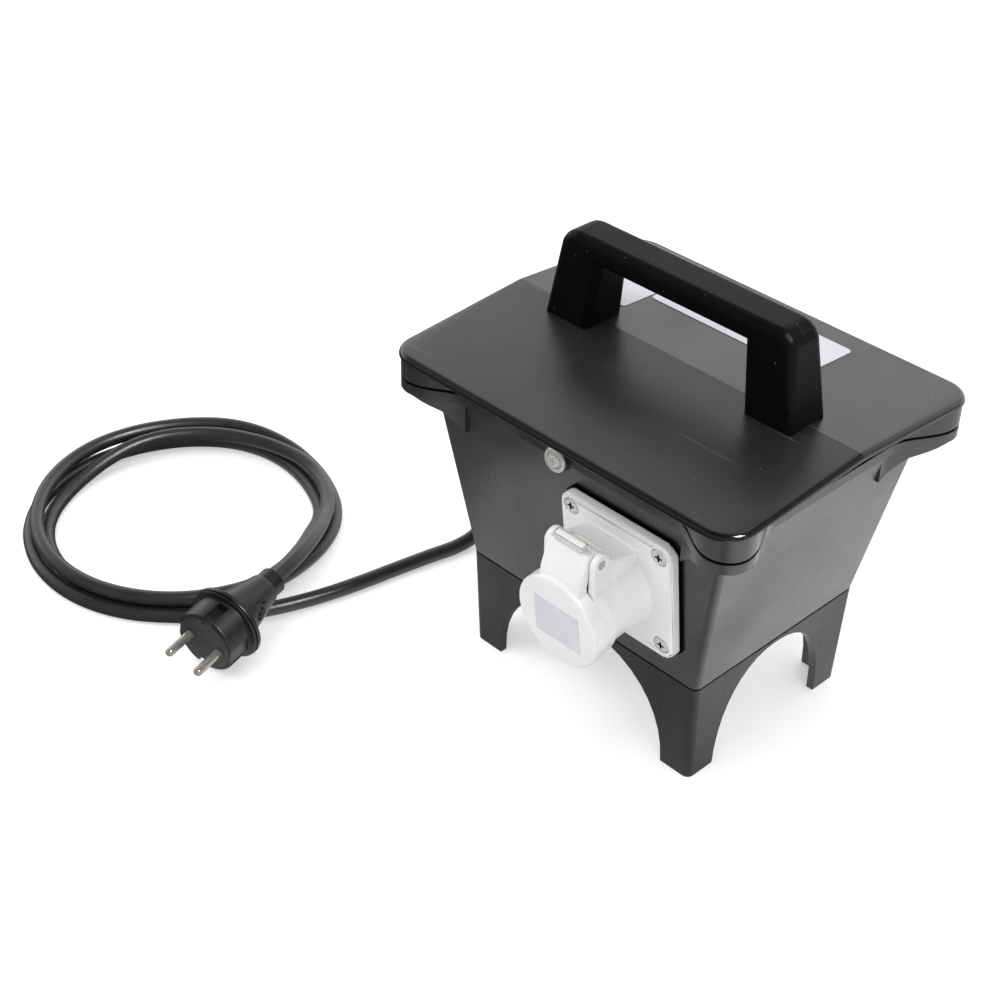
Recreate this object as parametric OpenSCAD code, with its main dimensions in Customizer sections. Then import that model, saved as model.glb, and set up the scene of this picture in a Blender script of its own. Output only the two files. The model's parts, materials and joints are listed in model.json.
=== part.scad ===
// Portable isolating transformer: a tapered plastic tub on four legs, a gabled
// lid with a carrying handle, a low voltage socket with a sprung flap in front,
// and a rubber mains cord with its plug, coiled on the floor beside it.
// Millimetres, +Z up, the socket faces -Y, the floor is Z = 0.

/* [Lid] */
// Length of the lid over its lip
lid_l = 224; // [206:1:260]
// Depth of the lid over its lip
lid_w = 184; // [166:1:220]
// Corner radius of the lid, seen from above
lid_corner_r = 16; // [10:1:20]
// Thickness of the lid plate
lid_t = 3.6; // [3.2:0.1:5]
// Radius that rounds the lip over
lip_r = 3; // [1:0.1:3.2]
// Rise of the ridge above the long edges
lid_rise = 5.3; // [3:0.1:9]
// Height of the skirt under the lip, at the long edges
skirt_h = 11.3; // [8:0.1:16]
// Thickness of the gasket under the skirt
gasket_t = 1.4; // [1:0.1:2]
// How far the gasket lies back from the faces that it seals
gasket_inset = 0.5; // [0.2:0.1:1]

/* [Tub] */
// Outside length of the tub at its rim
tub_top_l = 194; // [186:1:200]
// Outside depth of the tub at its rim
tub_top_w = 151; // [145:1:156]
// Outside length of the tub at its floor
tub_base_l = 156.6; // [150:0.2:164]
// Outside depth of the tub at its floor
tub_base_w = 124; // [120:1:130]
// Height of the tub from its floor to its rim
tub_h = 105.2; // [102:0.2:120]
// Wall thickness of the tub and of the skirt
wall_t = 3; // [2.5:0.1:3.6]
// Radius of the tub's upright corners
tub_corner_r = 4; // [1:0.5:6]
// How far the rim band stands out of the wall
rim_out = 1.5; // [1:0.1:2.5]
// Height of the rim band
rim_h = 5.4; // [4:0.1:7]
// How far the tub's ears stand in from each end of the lid
ear_end = 1; // [0.5:0.1:4]
// How far the tub's ears stand in from each long side of the lid
ear_side = 2; // [1:0.1:4]
// Corner radius of the ears
ear_r = 13; // [10:0.5:14]
// Run of an ear's curve along a long side
ear_run_x = 31; // [26:1:36]
// Run of an ear's curve along a short side
ear_run_y = 34; // [28:1:38]
// How far an ear's web reaches below the rim band at its end
web_drop = 17.5; // [12:0.5:22]
// How far an ear's web stands out of the wall at its end
web_step = 2; // [1:0.1:3]

/* [Leg frame] */
// Height of the leg frame
leg_h = 59.4; // [50:0.2:70]
// Height of the seam between the leg frame and the tub
seam_h = 1; // [0.6:0.1:2]
// Depth of the seam's groove
seam_depth = 1.6; // [1:0.1:2.2]
// Length of the leg frame at the floor
foot_l = 154; // [148:1:158]
// Depth of the leg frame at the floor
foot_w = 118.8; // [112:0.2:122]
// Wall thickness of the legs
leg_t = 4.5; // [4:0.1:6]
// Width of each leg along the long side, at the floor
leg_run_x = 19; // [15:0.5:26]
// Width of each leg along the short side, at the floor
leg_run_y = 18.6; // [15:0.2:24]
// Web of material left above each arch
arch_web = 2.2; // [2:0.1:4]
// Power of the arch's curve, 2 is an ellipse
arch_power = 2.25; // [2:0.05:3]
// Side of the square screw blocks in the corners
corner_block = 15; // [12:0.5:17]
// Height of the screw blocks
corner_block_h = 9; // [6:0.5:12]

/* [Handle] */
// Distance between the middles of the handle's feet
handle_feet = 130.6; // [120:0.2:140]
// Length of each foot along the handle
handle_foot_l = 29; // [26:0.2:31]
// Depth of the handle at its feet
handle_foot_w = 26.6; // [24:0.2:30]
// Depth of the handle's bar
handle_bar_w = 24; // [22:0.5:26]
// Thickness of the handle's bar
handle_bar_t = 13.5; // [12:0.5:18]
// Room for the hand under the bar, above the ridge
handle_gap = 35; // [30:1:45]
// How far each upright leans in over its height
handle_lean = 6; // [2:0.5:9]
// Radius of the bar's edges
handle_r = 5.5; // [4:0.5:6]
// Radius that turns the uprights into the bar
handle_bend_r = 11.5; // [8:0.5:18]
// Radius of the feet's corners
handle_foot_r = 3; // [2:0.5:8]
// Shank of the handle's screws
handle_screw_d = 5; // [4:0.5:6]
// Distance between the two screws of a foot
handle_screw_gap = 12; // [10:0.5:14]

/* [Lid screws] */
// Place of the two lid screws along the long sides
lid_screw_x = -5; // [-20:1:20]
// Height of the lid screws below the rim
lid_screw_drop = 3.4; // [2:0.2:6]
// Shank of the lid screws
lid_screw_d = 5; // [4:0.5:5]
// Diameter of the bright cup under each head
cup_d = 13.4; // [12:0.2:15]
// Depth of the cup
cup_t = 2.4; // [1.5:0.1:3]
// How far the black boss stands out of the rim band
boss_out = 1.6; // [1:0.1:3]

/* [Labels] */
// Length of the tall label
label_a_l = 49; // [30:1:52]
// Depth of the tall label
label_a_w = 68; // [40:1:70]
// Length of the long label
label_b_l = 102; // [60:1:110]
// Depth of the long label
label_b_w = 37.5; // [20:0.5:45]
// Thickness of both labels
label_t = 0.35; // [0.2:0.05:0.6]
// Gap between the two labels
label_gap = 1; // [0.5:0.1:4]
// From the lid's end to the line between the two labels
label_end = 58; // [54:0.5:62]

/* [Socket] */
// Side of the socket's square flange
flange_s = 70.8; // [66:0.2:75]
// Thickness of the flange
flange_t = 5.6; // [4.5:0.1:7]
// Cut across the flange's corners
flange_cut = 4.5; // [4:0.5:8]
// Thickness of the rubber sheet behind the flange
pad_t = 1.5; // [1:0.1:3]
// Distance between the flange's screws
flange_pitch = 56; // [54:0.5:58]
// Shank of the flange's screws
flange_screw_d = 4; // [3:0.5:5]
// Head of the flange's screws
flange_head_d = 9; // [8:0.2:10]
// Place of the socket along the front
socket_x = 34.4; // [20:0.2:40]
// From the tub's rim down to the socket's middle
socket_down = 50.6; // [48:0.2:54]
// How far the barrel's axis lies below the flange's middle
barrel_drop = 2.8; // [0:0.2:4]
// How far the barrel's axis lies to the left of the flange's middle
barrel_aside = 0.8; // [0:0.1:2]
// Diameter of the barrel
barrel_d = 45.6; // [44:0.2:48]
// Diameter of the barrel where it leaves the flange
barrel_foot_d = 49; // [47:0.5:52]
// Diameter of the barrel's collar
collar_d = 48.6; // [47:0.2:50]
// Bore of the barrel
barrel_bore = 41; // [38:0.5:42]
// Distance of the barrel's mouth from the wall
barrel_reach = 40.6; // [38:0.2:46]
// Diameter of the contact sleeves' bores
sleeve_bore = 6.2; // [5:0.1:7]
// Wall of the contact sleeves
sleeve_wall = 1; // [0.6:0.1:1.2]
// Circle on which the contacts lie
contact_circle = 19; // [16:0.5:22]

/* [Flap] */
// Diameter of the flap's cap
cap_d = 50.8; // [50:0.2:54]
// Depth of the flap's cap
cap_t = 8; // [6:0.2:10]
// Thickness of the cap's face
cap_face_t = 2.4; // [1.8:0.1:3]
// How far the cap's skirt laps over the barrel's nose
cap_lap = 2; // [1:0.1:3]
// Height of the hinge above the flange's middle
hinge_up = 33; // [32:0.2:36]
// Distance of the hinge from the wall
hinge_out = 31.5; // [30:0.2:34]
// Diameter of the hinge pin
hinge_pin_d = 4.4; // [4:0.1:5]
// Width of the strap that carries the cap
strap_w = 25; // [20:0.5:26]
// Thickness of each hinge ear
ear_t = 3.2; // [2.5:0.1:4]
// Radius of the hinge bosses
hinge_boss_r = 5.4; // [4.6:0.1:6]
// Width of the finger ledge
ledge_w = 17.2; // [14:0.2:22]
// Length of the panel on the flap
panel_l = 28.4; // [20:0.2:34]
// Height of the panel on the flap
panel_w = 22; // [14:0.5:26]

/* [Mains cord] */
// Diameter of the cord
cord_d = 8.4; // [7:0.1:9]
// Middle radius of the coil's loops
coil_r = 84.5; // [80:0.5:100]
// Height of the gland above the tub's floor, up the wall
gland_up = 16; // [14:0.5:30]
// Place of the gland behind the middle of the left wall
gland_back = 30; // [20:1:36]
// Thread of the gland
gland_d = 20; // [18:0.5:22]
// Length of the gland's dome
gland_dome_l = 17; // [14:0.5:20]
// Spacing of the plug's pins
pin_gap = 19; // [19:0.1:19.2]
// Diameter of the plug's pins
pin_d = 4.8; // [4.7:0.05:4.9]
// Length of the plug's pins
pin_l = 19; // [18:0.1:20]
// Diameter of the plug's face
plug_face_d = 37; // [36:0.2:38]
// Diameter of the plug's collar
plug_collar_d = 43.6; // [42:0.2:46]
// Length of the plug without its pins
plug_l = 58; // [54:0.5:64]

/* [Transformer] */
// Room beside the core at each end of the tub's base
core_side = 25.8; // [24:0.1:30]
// Height of the lamination
core_h = 87.5; // [80:0.5:90]
// Stack of laminations
core_stack = 50; // [40:1:54]
// Place of the core behind the case's middle
core_back = 14; // [12:1:16]
// Wall of the bobbin
bobbin_t = 1.5; // [1:0.1:2]
// Build of the primary winding
primary_t = 7; // [5:0.2:8]
// Air between the secondary winding and the outer leg
winding_air = 1.7; // [1:0.1:3]
// Wrap between and over the windings
wrap_t = 0.6; // [0.4:0.1:1]
// Thickness of the steel base plate and brackets
plate_t = 2; // [1.5:0.1:3]
// Diameter of the core's bolts
core_bolt_d = 4.5; // [4:0.1:5]
// Diameter of one lead's insulation
lead_d = 3; // [2.4:0.1:3.4]

/* [Hidden] */
$fn = 48;

// One overrun for every cut, a running clearance and a fit's clearance
over = 1;
gap = 0.3;
fit = 0.05;
// Facets of a rounded hull's own parts
soft_fn = 32;
// Thickness of the slices that a hull spans
slice = 0.01;

// Heights
tub_z = leg_h + seam_h;
rim_z = tub_z + tub_h;
skirt_z = rim_z + gasket_t;
lip_z = skirt_z + skirt_h;
ridge_z = lip_z + lid_rise + lid_t;
band_z = rim_z - rim_h;
web_z = band_z - web_drop;
floor_z = tub_z + wall_t;

// Slopes of the tub's walls and of the lid
slope_x = (tub_top_l - tub_base_l) / 2 / tub_h;
slope_y = (tub_top_w - tub_base_w) / 2 / tub_h;
lean_x = atan(slope_x);
lean_y = atan(slope_y);
lid_slope = atan(lid_rise / (lid_w / 2 - lip_r));
function wall_x(z) = tub_base_l / 2 + slope_x * (z - tub_z);
function wall_y(z) = tub_base_w / 2 + slope_y * (z - tub_z);
function under_lid(y) = lip_z + lid_rise * (1 - abs(y) / (lid_w / 2));
function over_lid(y) = ridge_z - abs(y) * tan(lid_slope);

// The case stands back, so that the origin is under the middle of case and socket
socket_up = tub_h - socket_down;
flap_front = barrel_reach + cap_t - cap_lap;
flap_reach = tub_base_w / 2 + (socket_up + cap_d / 2 - barrel_drop) * sin(lean_y) + flap_front * cos(lean_y);
case_y = (flap_reach - lid_w / 2) / 2;

// A smooth step from one value to another, and a curve of such steps
function ease(t) = (1 - cos(180 * max(0, min(1, t)))) / 2;
curve_n = 8;
arc_n = 8;

// One quarter of the outline over two ears, from the long side to the short side
function ear_quarter(rl, rw, inset) = concat(
    [for (i = [0:curve_n]) let (t = i / curve_n)
        [ear_l / 2 - ear_r - ear_run_x * (1 - t), (rw + (ear_w - rw) * ease(t)) / 2 - inset]],
    [for (i = [1:arc_n - 1]) let (a = 90 - 90 * i / arc_n)
        [ear_l / 2 - ear_r + (ear_r - inset) * cos(a), ear_w / 2 - ear_r + (ear_r - inset) * sin(a)]],
    [for (i = [0:curve_n]) let (t = i / curve_n)
        [(ear_l + (rl - ear_l) * ease(t)) / 2 - inset, ear_w / 2 - ear_r - ear_run_y * t]]);
function turned(list) = [for (i = [len(list) - 1:-1:0]) list[i]];
function ear_outline(rl, rw, inset) = let (q = ear_quarter(rl, rw, inset)) concat(
    q, turned([for (p = q) [p[0], -p[1]]]),
    [for (p = q) [-p[0], -p[1]]], turned([for (p = q) [-p[0], p[1]]]));

ear_l = lid_l - 2 * ear_end;
ear_w = lid_w - 2 * ear_side;
rim_l = tub_top_l + 2 * rim_out;
rim_w = tub_top_w + 2 * rim_out;
web_l = 2 * (wall_x(web_z) + web_step);
web_w = 2 * (wall_y(web_z) + web_step);

module ear_prism(z0, z1, rl, rw, inset) {
    translate([0, 0, z0]) linear_extrude(z1 - z0) polygon(ear_outline(rl, rw, inset));
}
module in_case() { translate([0, case_y, 0]) children(); }

// A flat plate with four round corners
module round_plate(l, w, r, h, fn) {
    for (x = [-1, 1], y = [-1, 1])
        translate([x * (l / 2 - r), y * (w / 2 - r), 0]) cylinder(r = r, h = h, $fn = fn);
}
module round_slab(l, w, r, h) {
    translate([-l / 2 + r, -w / 2, 0]) cube([l - 2 * r, w, h]);
    translate([-l / 2, -w / 2 + r, 0]) cube([l, w - 2 * r, h]);
    round_plate(l, w, r, h, $fn);
}
// A box with upright round corners that widens from its base to its top
module flared_box(l0, w0, l1, w1, h, r) {
    hull() {
        round_plate(l0, w0, r, slice, soft_fn);
        translate([0, 0, h - slice]) round_plate(l1, w1, r, slice, soft_fn);
    }
}
// A prism along X, from an outline in Y and Z
module along_x(length, outline) {
    rotate([90, 0, 90]) translate([0, 0, -length / 2]) linear_extrude(length) polygon(outline);
}
// A prism along Y, from an outline in X and Z
module along_y(length, outline) {
    rotate([90, 0, 0]) translate([0, 0, -length / 2]) linear_extrude(length) polygon(outline);
}
module tube(d, bore, h) {
    difference() {
        cylinder(d = d, h = h);
        translate([0, 0, -over]) cylinder(d = bore, h = h + 2 * over);
    }
}
// A cross recess for a screw's head, cut down from its top
module cross_recess(size, depth) {
    for (a = [0, 90]) rotate([0, 0, a])
        translate([-size / 2, -size / 8, -depth]) cube([size, size / 4, depth + over]);
}

// Lid
module gable_below(clear) {
    along_x(lid_l + 2 * over, [[-lid_w / 2 - over, skirt_z - over], [lid_w / 2 + over, skirt_z - over],
        [lid_w / 2 + over, lip_z - over * lid_rise / (lid_w / 2) + clear], [0, lip_z + lid_rise + clear],
        [-lid_w / 2 - over, lip_z - over * lid_rise / (lid_w / 2) + clear]]);
}
// Rounding steps of the lip: how far in and how high, as shares of the lip's radius
lip_shares = [[0, 0], [0.1, 0.44], [0.3, 0.72], [0.6, 0.92], [1, 1]];
module lid_plate() {
    difference() {
        hull() for (s = lip_shares) {
            h = lid_t - lip_r + lip_r * s[1];
            translate([0, 0, lip_z]) round_plate(lid_l - 2 * lip_r * s[0], lid_w - 2 * lip_r * s[0],
                lid_corner_r - lip_r * s[0], h, soft_fn);
            translate([-lid_l / 2 + lip_r * s[0], -slice / 2, lip_z])
                cube([lid_l - 2 * lip_r * s[0], slice, lid_rise + h]);
        }
        gable_below(0);
    }
}
lug_w = 16;
lug_t = 9;
lug_z = rim_z - lid_screw_drop - lug_w / 2;
lug_y = wall_y(lug_z) - wall_t / cos(lean_y) - gap;
module lid_lug() {
    translate([lid_screw_x - lug_w / 2, -lug_y, lug_z])
        cube([lug_w, lug_t, under_lid(lug_y - lug_t) + lid_t / 2 - lug_z]);
}
insert_d = 7;
insert_l = 7;
module lid_cover() color("#242425") in_case() difference() {
    union() {
        lid_plate();
        intersection() {
            difference() {
                ear_prism(skirt_z, ridge_z, rim_l, rim_w, 0);
                ear_prism(skirt_z - over, ridge_z + over, rim_l, rim_w, wall_t);
            }
            gable_below(lid_t / 2);
        }
        lid_lug();
        mirror([0, 1, 0]) lid_lug();
        screw_bosses(skirt_z, skirt_z + cup_d);
    }
    for (s = [-1, 1]) translate([lid_screw_x, s * (lug_y + over), rim_z - lid_screw_drop])
        rotate([s * 90, 0, 0]) {
            cylinder(d = insert_d + 2 * fit, h = insert_l + over);
            cylinder(d = lid_screw_d + 2 * fit, h = lug_t + 2 * over);
        }
    for (p = handle_screw_places) translate([p[0], p[1], lip_z - over])
        cylinder(d = handle_screw_d + 2 * fit, h = ridge_z - lip_z + 2 * over);
}
module lid_inserts() color("#b8953f") in_case()
    for (s = [-1, 1]) translate([lid_screw_x, s * lug_y, rim_z - lid_screw_drop])
        rotate([s * 90, 0, 0]) tube(insert_d, lid_screw_d + 2 * fit, insert_l);
module lid_gasket() color("#0c0c0c") in_case() difference() {
    ear_prism(rim_z, skirt_z, rim_l, rim_w, gasket_inset);
    ear_prism(rim_z - over, skirt_z + over, rim_l, rim_w, wall_t);
}

// Handle
handle_z = ridge_z + handle_gap;
handle_top = handle_z + handle_bar_t;
handle_screw_places = [for (x = [-1, 1], y = [-1, 1])
    [x * handle_feet / 2, y * handle_screw_gap / 2]];
handle_screw_depth = 16;
bend_steps = 4;
module handle_knots(side, place) for (y = [-1, 1])
    translate([side * place[0], y * (handle_bar_w / 2 - handle_r), place[1]])
        sphere(r = handle_r, $fn = soft_fn);
module handle_upright(side) {
    x = handle_feet / 2 - handle_lean;
    bend = handle_bend_r - handle_r;
    hull() {
        translate([side * handle_feet / 2, 0, over_lid(handle_foot_w)])
            round_plate(handle_foot_l, handle_foot_w, handle_foot_r, slice, soft_fn);
        handle_knots(side, [x - handle_foot_l / 2 + handle_r, handle_top - handle_r]);
        for (i = [0:bend_steps]) let (a = 90 * i / bend_steps) handle_knots(side,
            [x + handle_foot_l / 2 - handle_bend_r + bend * cos(a),
                handle_top - handle_bend_r + bend * sin(a)]);
    }
}
module handle() color("#1c1c1d") in_case() difference() {
    union() {
        handle_upright(-1);
        handle_upright(1);
        hull() for (side = [-1, 1], z = [handle_z + handle_r, handle_top - handle_r])
            handle_knots(side, [handle_feet / 2 - handle_lean - handle_foot_l / 2 + handle_bend_r, z]);
    }
    along_x(lid_l, [[-lid_w / 2, lip_z], [lid_w / 2, lip_z], [lid_w / 2, over_lid(lid_w / 2)],
        [0, ridge_z], [-lid_w / 2, over_lid(lid_w / 2)]]);
    for (p = handle_screw_places) translate([p[0], p[1], lip_z])
        cylinder(d = handle_screw_d + 2 * fit, h = ridge_z + handle_screw_depth - lip_z);
}
handle_head_d = 9.5;
handle_head_h = 3.2;
handle_screw_short = 1;
module handle_screws() color("silver") in_case() for (p = handle_screw_places)
    translate([p[0], p[1], under_lid(handle_screw_gap / 2 + handle_head_d / 2) - handle_head_h])
        difference() {
            union() {
                cylinder(d = handle_head_d, h = handle_head_h);
                cylinder(d = handle_screw_d,
                    h = handle_head_h + lid_t + handle_screw_depth - handle_screw_short);
            }
            mirror([0, 0, 1]) cross_recess(handle_head_d / 2, handle_head_h / 2);
        }

// Lid screws, with a bright cup under each head
boss_y = rim_w / 2 + boss_out;
cup_seat = 0.8;
// The boss under each cup, cut off where the tub and the lid part
module screw_bosses(z0, z1) intersection() {
    for (s = [-1, 1]) translate([lid_screw_x, s * boss_y, rim_z - lid_screw_drop])
        rotate([s * 90, 0, 0]) cylinder(d = cup_d + cup_seat, h = boss_y - rim_w / 2 + wall_t);
    translate([-lid_l / 2, -lid_w / 2, z0]) cube([lid_l, lid_w, z1 - z0]);
}
screw_head_d = 8.4;
screw_head_h = 2.2;
module at_lid_screws() in_case()
    for (s = [0, 1]) mirror([0, s, 0]) translate([lid_screw_x, -boss_y, rim_z - lid_screw_drop])
        rotate([90, 0, 0]) children();
module lid_screws() color("silver") at_lid_screws() difference() {
    union() {
        translate([0, 0, cup_seat])
            cylinder(d1 = screw_head_d, d2 = screw_head_d - 2 * cup_seat, h = screw_head_h);
        translate([0, 0, lug_y - insert_l - boss_y])
            cylinder(d = lid_screw_d, h = boss_y - lug_y + insert_l + cup_seat);
    }
    translate([0, 0, cup_seat + screw_head_h]) cross_recess(screw_head_d / 2, screw_head_h / 2);
}
module lid_screw_cups() color("gainsboro") at_lid_screws() rotate_extrude() polygon([
    [lid_screw_d / 2 + gap, 0], [cup_d / 2 - cup_seat, 0], [cup_d / 2, cup_seat],
    [cup_d / 2, cup_t - cup_seat], [cup_d / 2 - cup_seat, cup_t], [screw_head_d / 2 + cup_seat, cup_t],
    [screw_head_d / 2 + gap, cup_seat], [lid_screw_d / 2 + gap, cup_seat]]);

// Labels on the rear slope
label_x = label_end - lid_l / 2;
module on_rear_slope() in_case() translate([0, 0, ridge_z]) rotate([-lid_slope, 0, 0]) children();
label_a_share = 0.575;
label_b_share = 0.623;
label_corner_r = 3;
module tall_label() color("white") on_rear_slope()
    translate([label_x - label_gap - label_a_l / 2, label_a_share * lid_w / 2, 0])
        round_slab(label_a_l, label_a_w, label_corner_r, label_t);
module long_label() color("gainsboro") on_rear_slope()
    translate([label_x + label_b_l / 2, label_b_share * lid_w / 2, 0])
        round_slab(label_b_l, label_b_w, label_corner_r, label_t);

// Tub
module web_zone(half_run, half, run, raise, length, turn) {
    // Half of an outline that drops towards the ear's end, for both ends of a side
    for (s = [-1, 1]) rotate([0, 0, turn]) along_y(length, [[s * (half - run), rim_z + over],
        [s * (half - run), web_z + raise], [s * ((half - run) + (half_run - half + run) * web_mid_share),
            web_z + web_drop * web_rise_share + raise], [s * half_run, band_z + raise],
        [s * (lid_l + lid_w), band_z + raise], [s * (lid_l + lid_w), rim_z + over]]);
}
web_late = 4.5;
web_flat_share = 0.9;
web_mid_share = 0.45;
web_rise_share = 0.62;
module ear_webs(inset) intersection() {
    ear_prism(web_z, rim_z, web_l, web_w, inset);
    union() {
        web_zone(ear_l / 2 - ear_r - ear_run_x * (1 - web_flat_share), ear_l / 2 - ear_r - inset,
            ear_run_x - web_late, inset, 2 * lid_l, 0);
        web_zone(ear_w / 2 - ear_r - ear_run_y * (1 - web_flat_share), ear_w / 2 - ear_r - inset,
            ear_run_y, inset, 2 * lid_l, 90);
    }
}
pad_hole_d = 52;
gland_hole_d = gland_d + 2 * gap;
screw_end = 18.8;
screw_side = 19.8;
base_screw_places = [for (x = [-1, 1], y = [-1, 1]) [x * (tub_base_l / 2 - screw_end),
    y * (tub_base_w / 2 - screw_side)]];
base_screw_d = 4;
post_d = 11;
module tub() color("#2b2b2c") in_case() difference() {
    union() {
        translate([0, 0, tub_z])
            flared_box(tub_base_l, tub_base_w, tub_top_l, tub_top_w, tub_h, tub_corner_r);
        ear_prism(band_z, rim_z, rim_l, rim_w, 0);
        ear_webs(0);
        translate([0, 0, leg_h]) round_slab(tub_base_l - 2 * seam_depth, tub_base_w - 2 * seam_depth,
            tub_corner_r, seam_h + over);
        screw_bosses(band_z - cup_d, rim_z);
    }
    difference() {
        translate([0, 0, floor_z]) flared_box(2 * (wall_x(floor_z) - wall_t), 2 * (wall_y(floor_z) - wall_t),
            tub_top_l - 2 * wall_t + 2 * over * slope_x, tub_top_w - 2 * wall_t + 2 * over * slope_y,
            tub_h - wall_t + over, tub_corner_r);
        for (p = base_screw_places) translate([p[0], p[1], floor_z - over])
            cylinder(d = post_d, h = post_h + over);
    }
    difference() {
        ear_prism(web_z, rim_z + over, rim_l, rim_w, wall_t);
        translate([-lid_l, -lid_w, web_z - over])
            cube([2 * lid_l, 2 * lid_w, band_z + over + wall_t - web_z]);
    }
    ear_webs(wall_t);
    for (s = [-1, 1]) translate([lid_screw_x, s * (boss_y + over), rim_z - lid_screw_drop])
        rotate([s * 90, 0, 0]) cylinder(d = lid_screw_d + 2 * fit, h = boss_y - lug_y + 2 * over);
    translate([0, -case_y, 0]) {
        on_socket() {
            translate([-barrel_aside, -barrel_drop, -2 * wall_t]) cylinder(d = pad_hole_d, h = 3 * wall_t);
            at_flange_screws() translate([0, 0, -2 * wall_t])
                cylinder(d = flange_screw_d + 2 * fit, h = 3 * wall_t);
        }
        on_gland() translate([0, 0, -2 * wall_t]) cylinder(d = gland_hole_d, h = 3 * wall_t);
    }
    for (p = base_screw_places) translate([p[0], p[1], floor_z])
        cylinder(d = base_screw_d + 2 * fit, h = post_h + over);
    for (p = leg_screw_places) translate([p[0], p[1], leg_h - over])
        cylinder(d = leg_screw_d + 2 * fit, h = leg_screw_l + over);
}

// Leg frame: four legs of angle section under a flat rim, open in arches
leg_screw_d = 4;
leg_screw_l = 3.4;
leg_screw_places = [for (x = [-1, 1], y = [-1, 1])
    [x * (tub_base_l / 2 - leg_t - corner_block / 2), y * (tub_base_w / 2 - leg_t - corner_block / 2)]];
arch_n = 20;
function arch(half, height) = concat([[-half, -over]],
    [for (i = [0:arch_n]) let (a = 180 - 180 * i / arch_n, c = cos(a), s = sin(a))
        [half * sign(c) * pow(abs(c), 2 / arch_power), height * pow(abs(s), 2 / arch_power)]],
    [[half, -over]]);
module leg_frame() color("#222223") in_case() difference() {
    union() {
        difference() {
            flared_box(foot_l, foot_w, tub_base_l, tub_base_w, leg_h, tub_corner_r);
            translate([0, 0, -over]) flared_box(foot_l - 2 * leg_t, foot_w - 2 * leg_t,
                tub_base_l - 2 * leg_t, tub_base_w - 2 * leg_t, leg_h + 2 * over, slice);
        }
        for (p = leg_screw_places) translate([p[0], p[1], leg_h - corner_block_h]) block_at(p);
    }
    along_y(2 * lid_w, arch(foot_l / 2 - leg_run_x, leg_h - arch_web));
    along_x(2 * lid_l, arch(foot_w / 2 - leg_run_y, leg_h - arch_web));
    for (p = leg_screw_places) translate([p[0], p[1], leg_h - corner_block_h - over])
        cylinder(d = leg_screw_d + 2 * gap, h = corner_block_h + 2 * over);
}
module block_at(p) {
    translate([-corner_block / 2 - (p[0] < 0 ? over : 0), -corner_block / 2 - (p[1] < 0 ? over : 0), 0])
        cube([corner_block + over, corner_block + over, corner_block_h]);
}
leg_head_d = 8;
leg_head_h = 2.6;
module leg_frame_screws() color("silver") in_case() for (p = leg_screw_places)
    translate([p[0], p[1], leg_h - corner_block_h - leg_head_h]) difference() {
        union() {
            cylinder(d = leg_head_d, h = leg_head_h);
            cylinder(d = leg_screw_d, h = leg_head_h + corner_block_h + leg_screw_l - gap);
        }
        mirror([0, 0, 1]) cross_recess(leg_head_d / 2, leg_head_h / 2);
    }

// Socket: X along the wall, Y up the wall, Z out of the wall
module on_socket() translate([socket_x, case_y - tub_base_w / 2, tub_z]) rotate([90 + lean_y, 0, 0])
    translate([0, socket_up, slice]) children();
module at_flange_screws() for (x = [-1, 1], y = [-1, 1])
    translate([x * flange_pitch / 2, y * flange_pitch / 2, 0]) children();
module cut_square(s, c, h) {
    a = s / 2;
    linear_extrude(h) polygon([[-a + c, -a], [a - c, -a], [a, -a + c], [a, a - c],
        [a - c, a], [-a + c, a], [-a, a - c], [-a, -a + c]]);
}
pad_out = 0.6;
module socket_gasket() color("#101010") on_socket() difference() {
    translate([0, -flange_drop, 0]) cut_square(flange_s + 2 * pad_out, flange_cut, pad_t);
    translate([-barrel_aside, -barrel_drop, -over]) cylinder(d = pad_hole_d, h = pad_t + 2 * over);
    at_flange_screws() translate([0, 0, -over]) cylinder(d = flange_screw_d + 2 * gap, h = pad_t + 2 * over);
}
face_z = pad_t + flange_t;
flange_edge = 1.2;
roof_w = 31.8;
roof_t = 2.4;
neck_w = 27;
ear_in = strap_w / 2 + gap;
roof_foot = 24.4;
roof_end = 26;
roof_end_up = 32.2;
collar_z = 31.6;
collar_l = 6.7;
nose_d = 44.6;
rear_l = 24;
rear_taper = 3;
foot_step = 1;
neck_room = 7.2;
ear_web = 2.2;
ear_tie = 1;
ear_bend = 21;
ear_cheek = 1.4;
ear_front = flap_front - cap_t - gap;
ledge_nick = 1;
slot_w = 20;
slot_l = 7.6;
slot_aside = -3.5;
flange_drop = 0.7;
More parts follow.
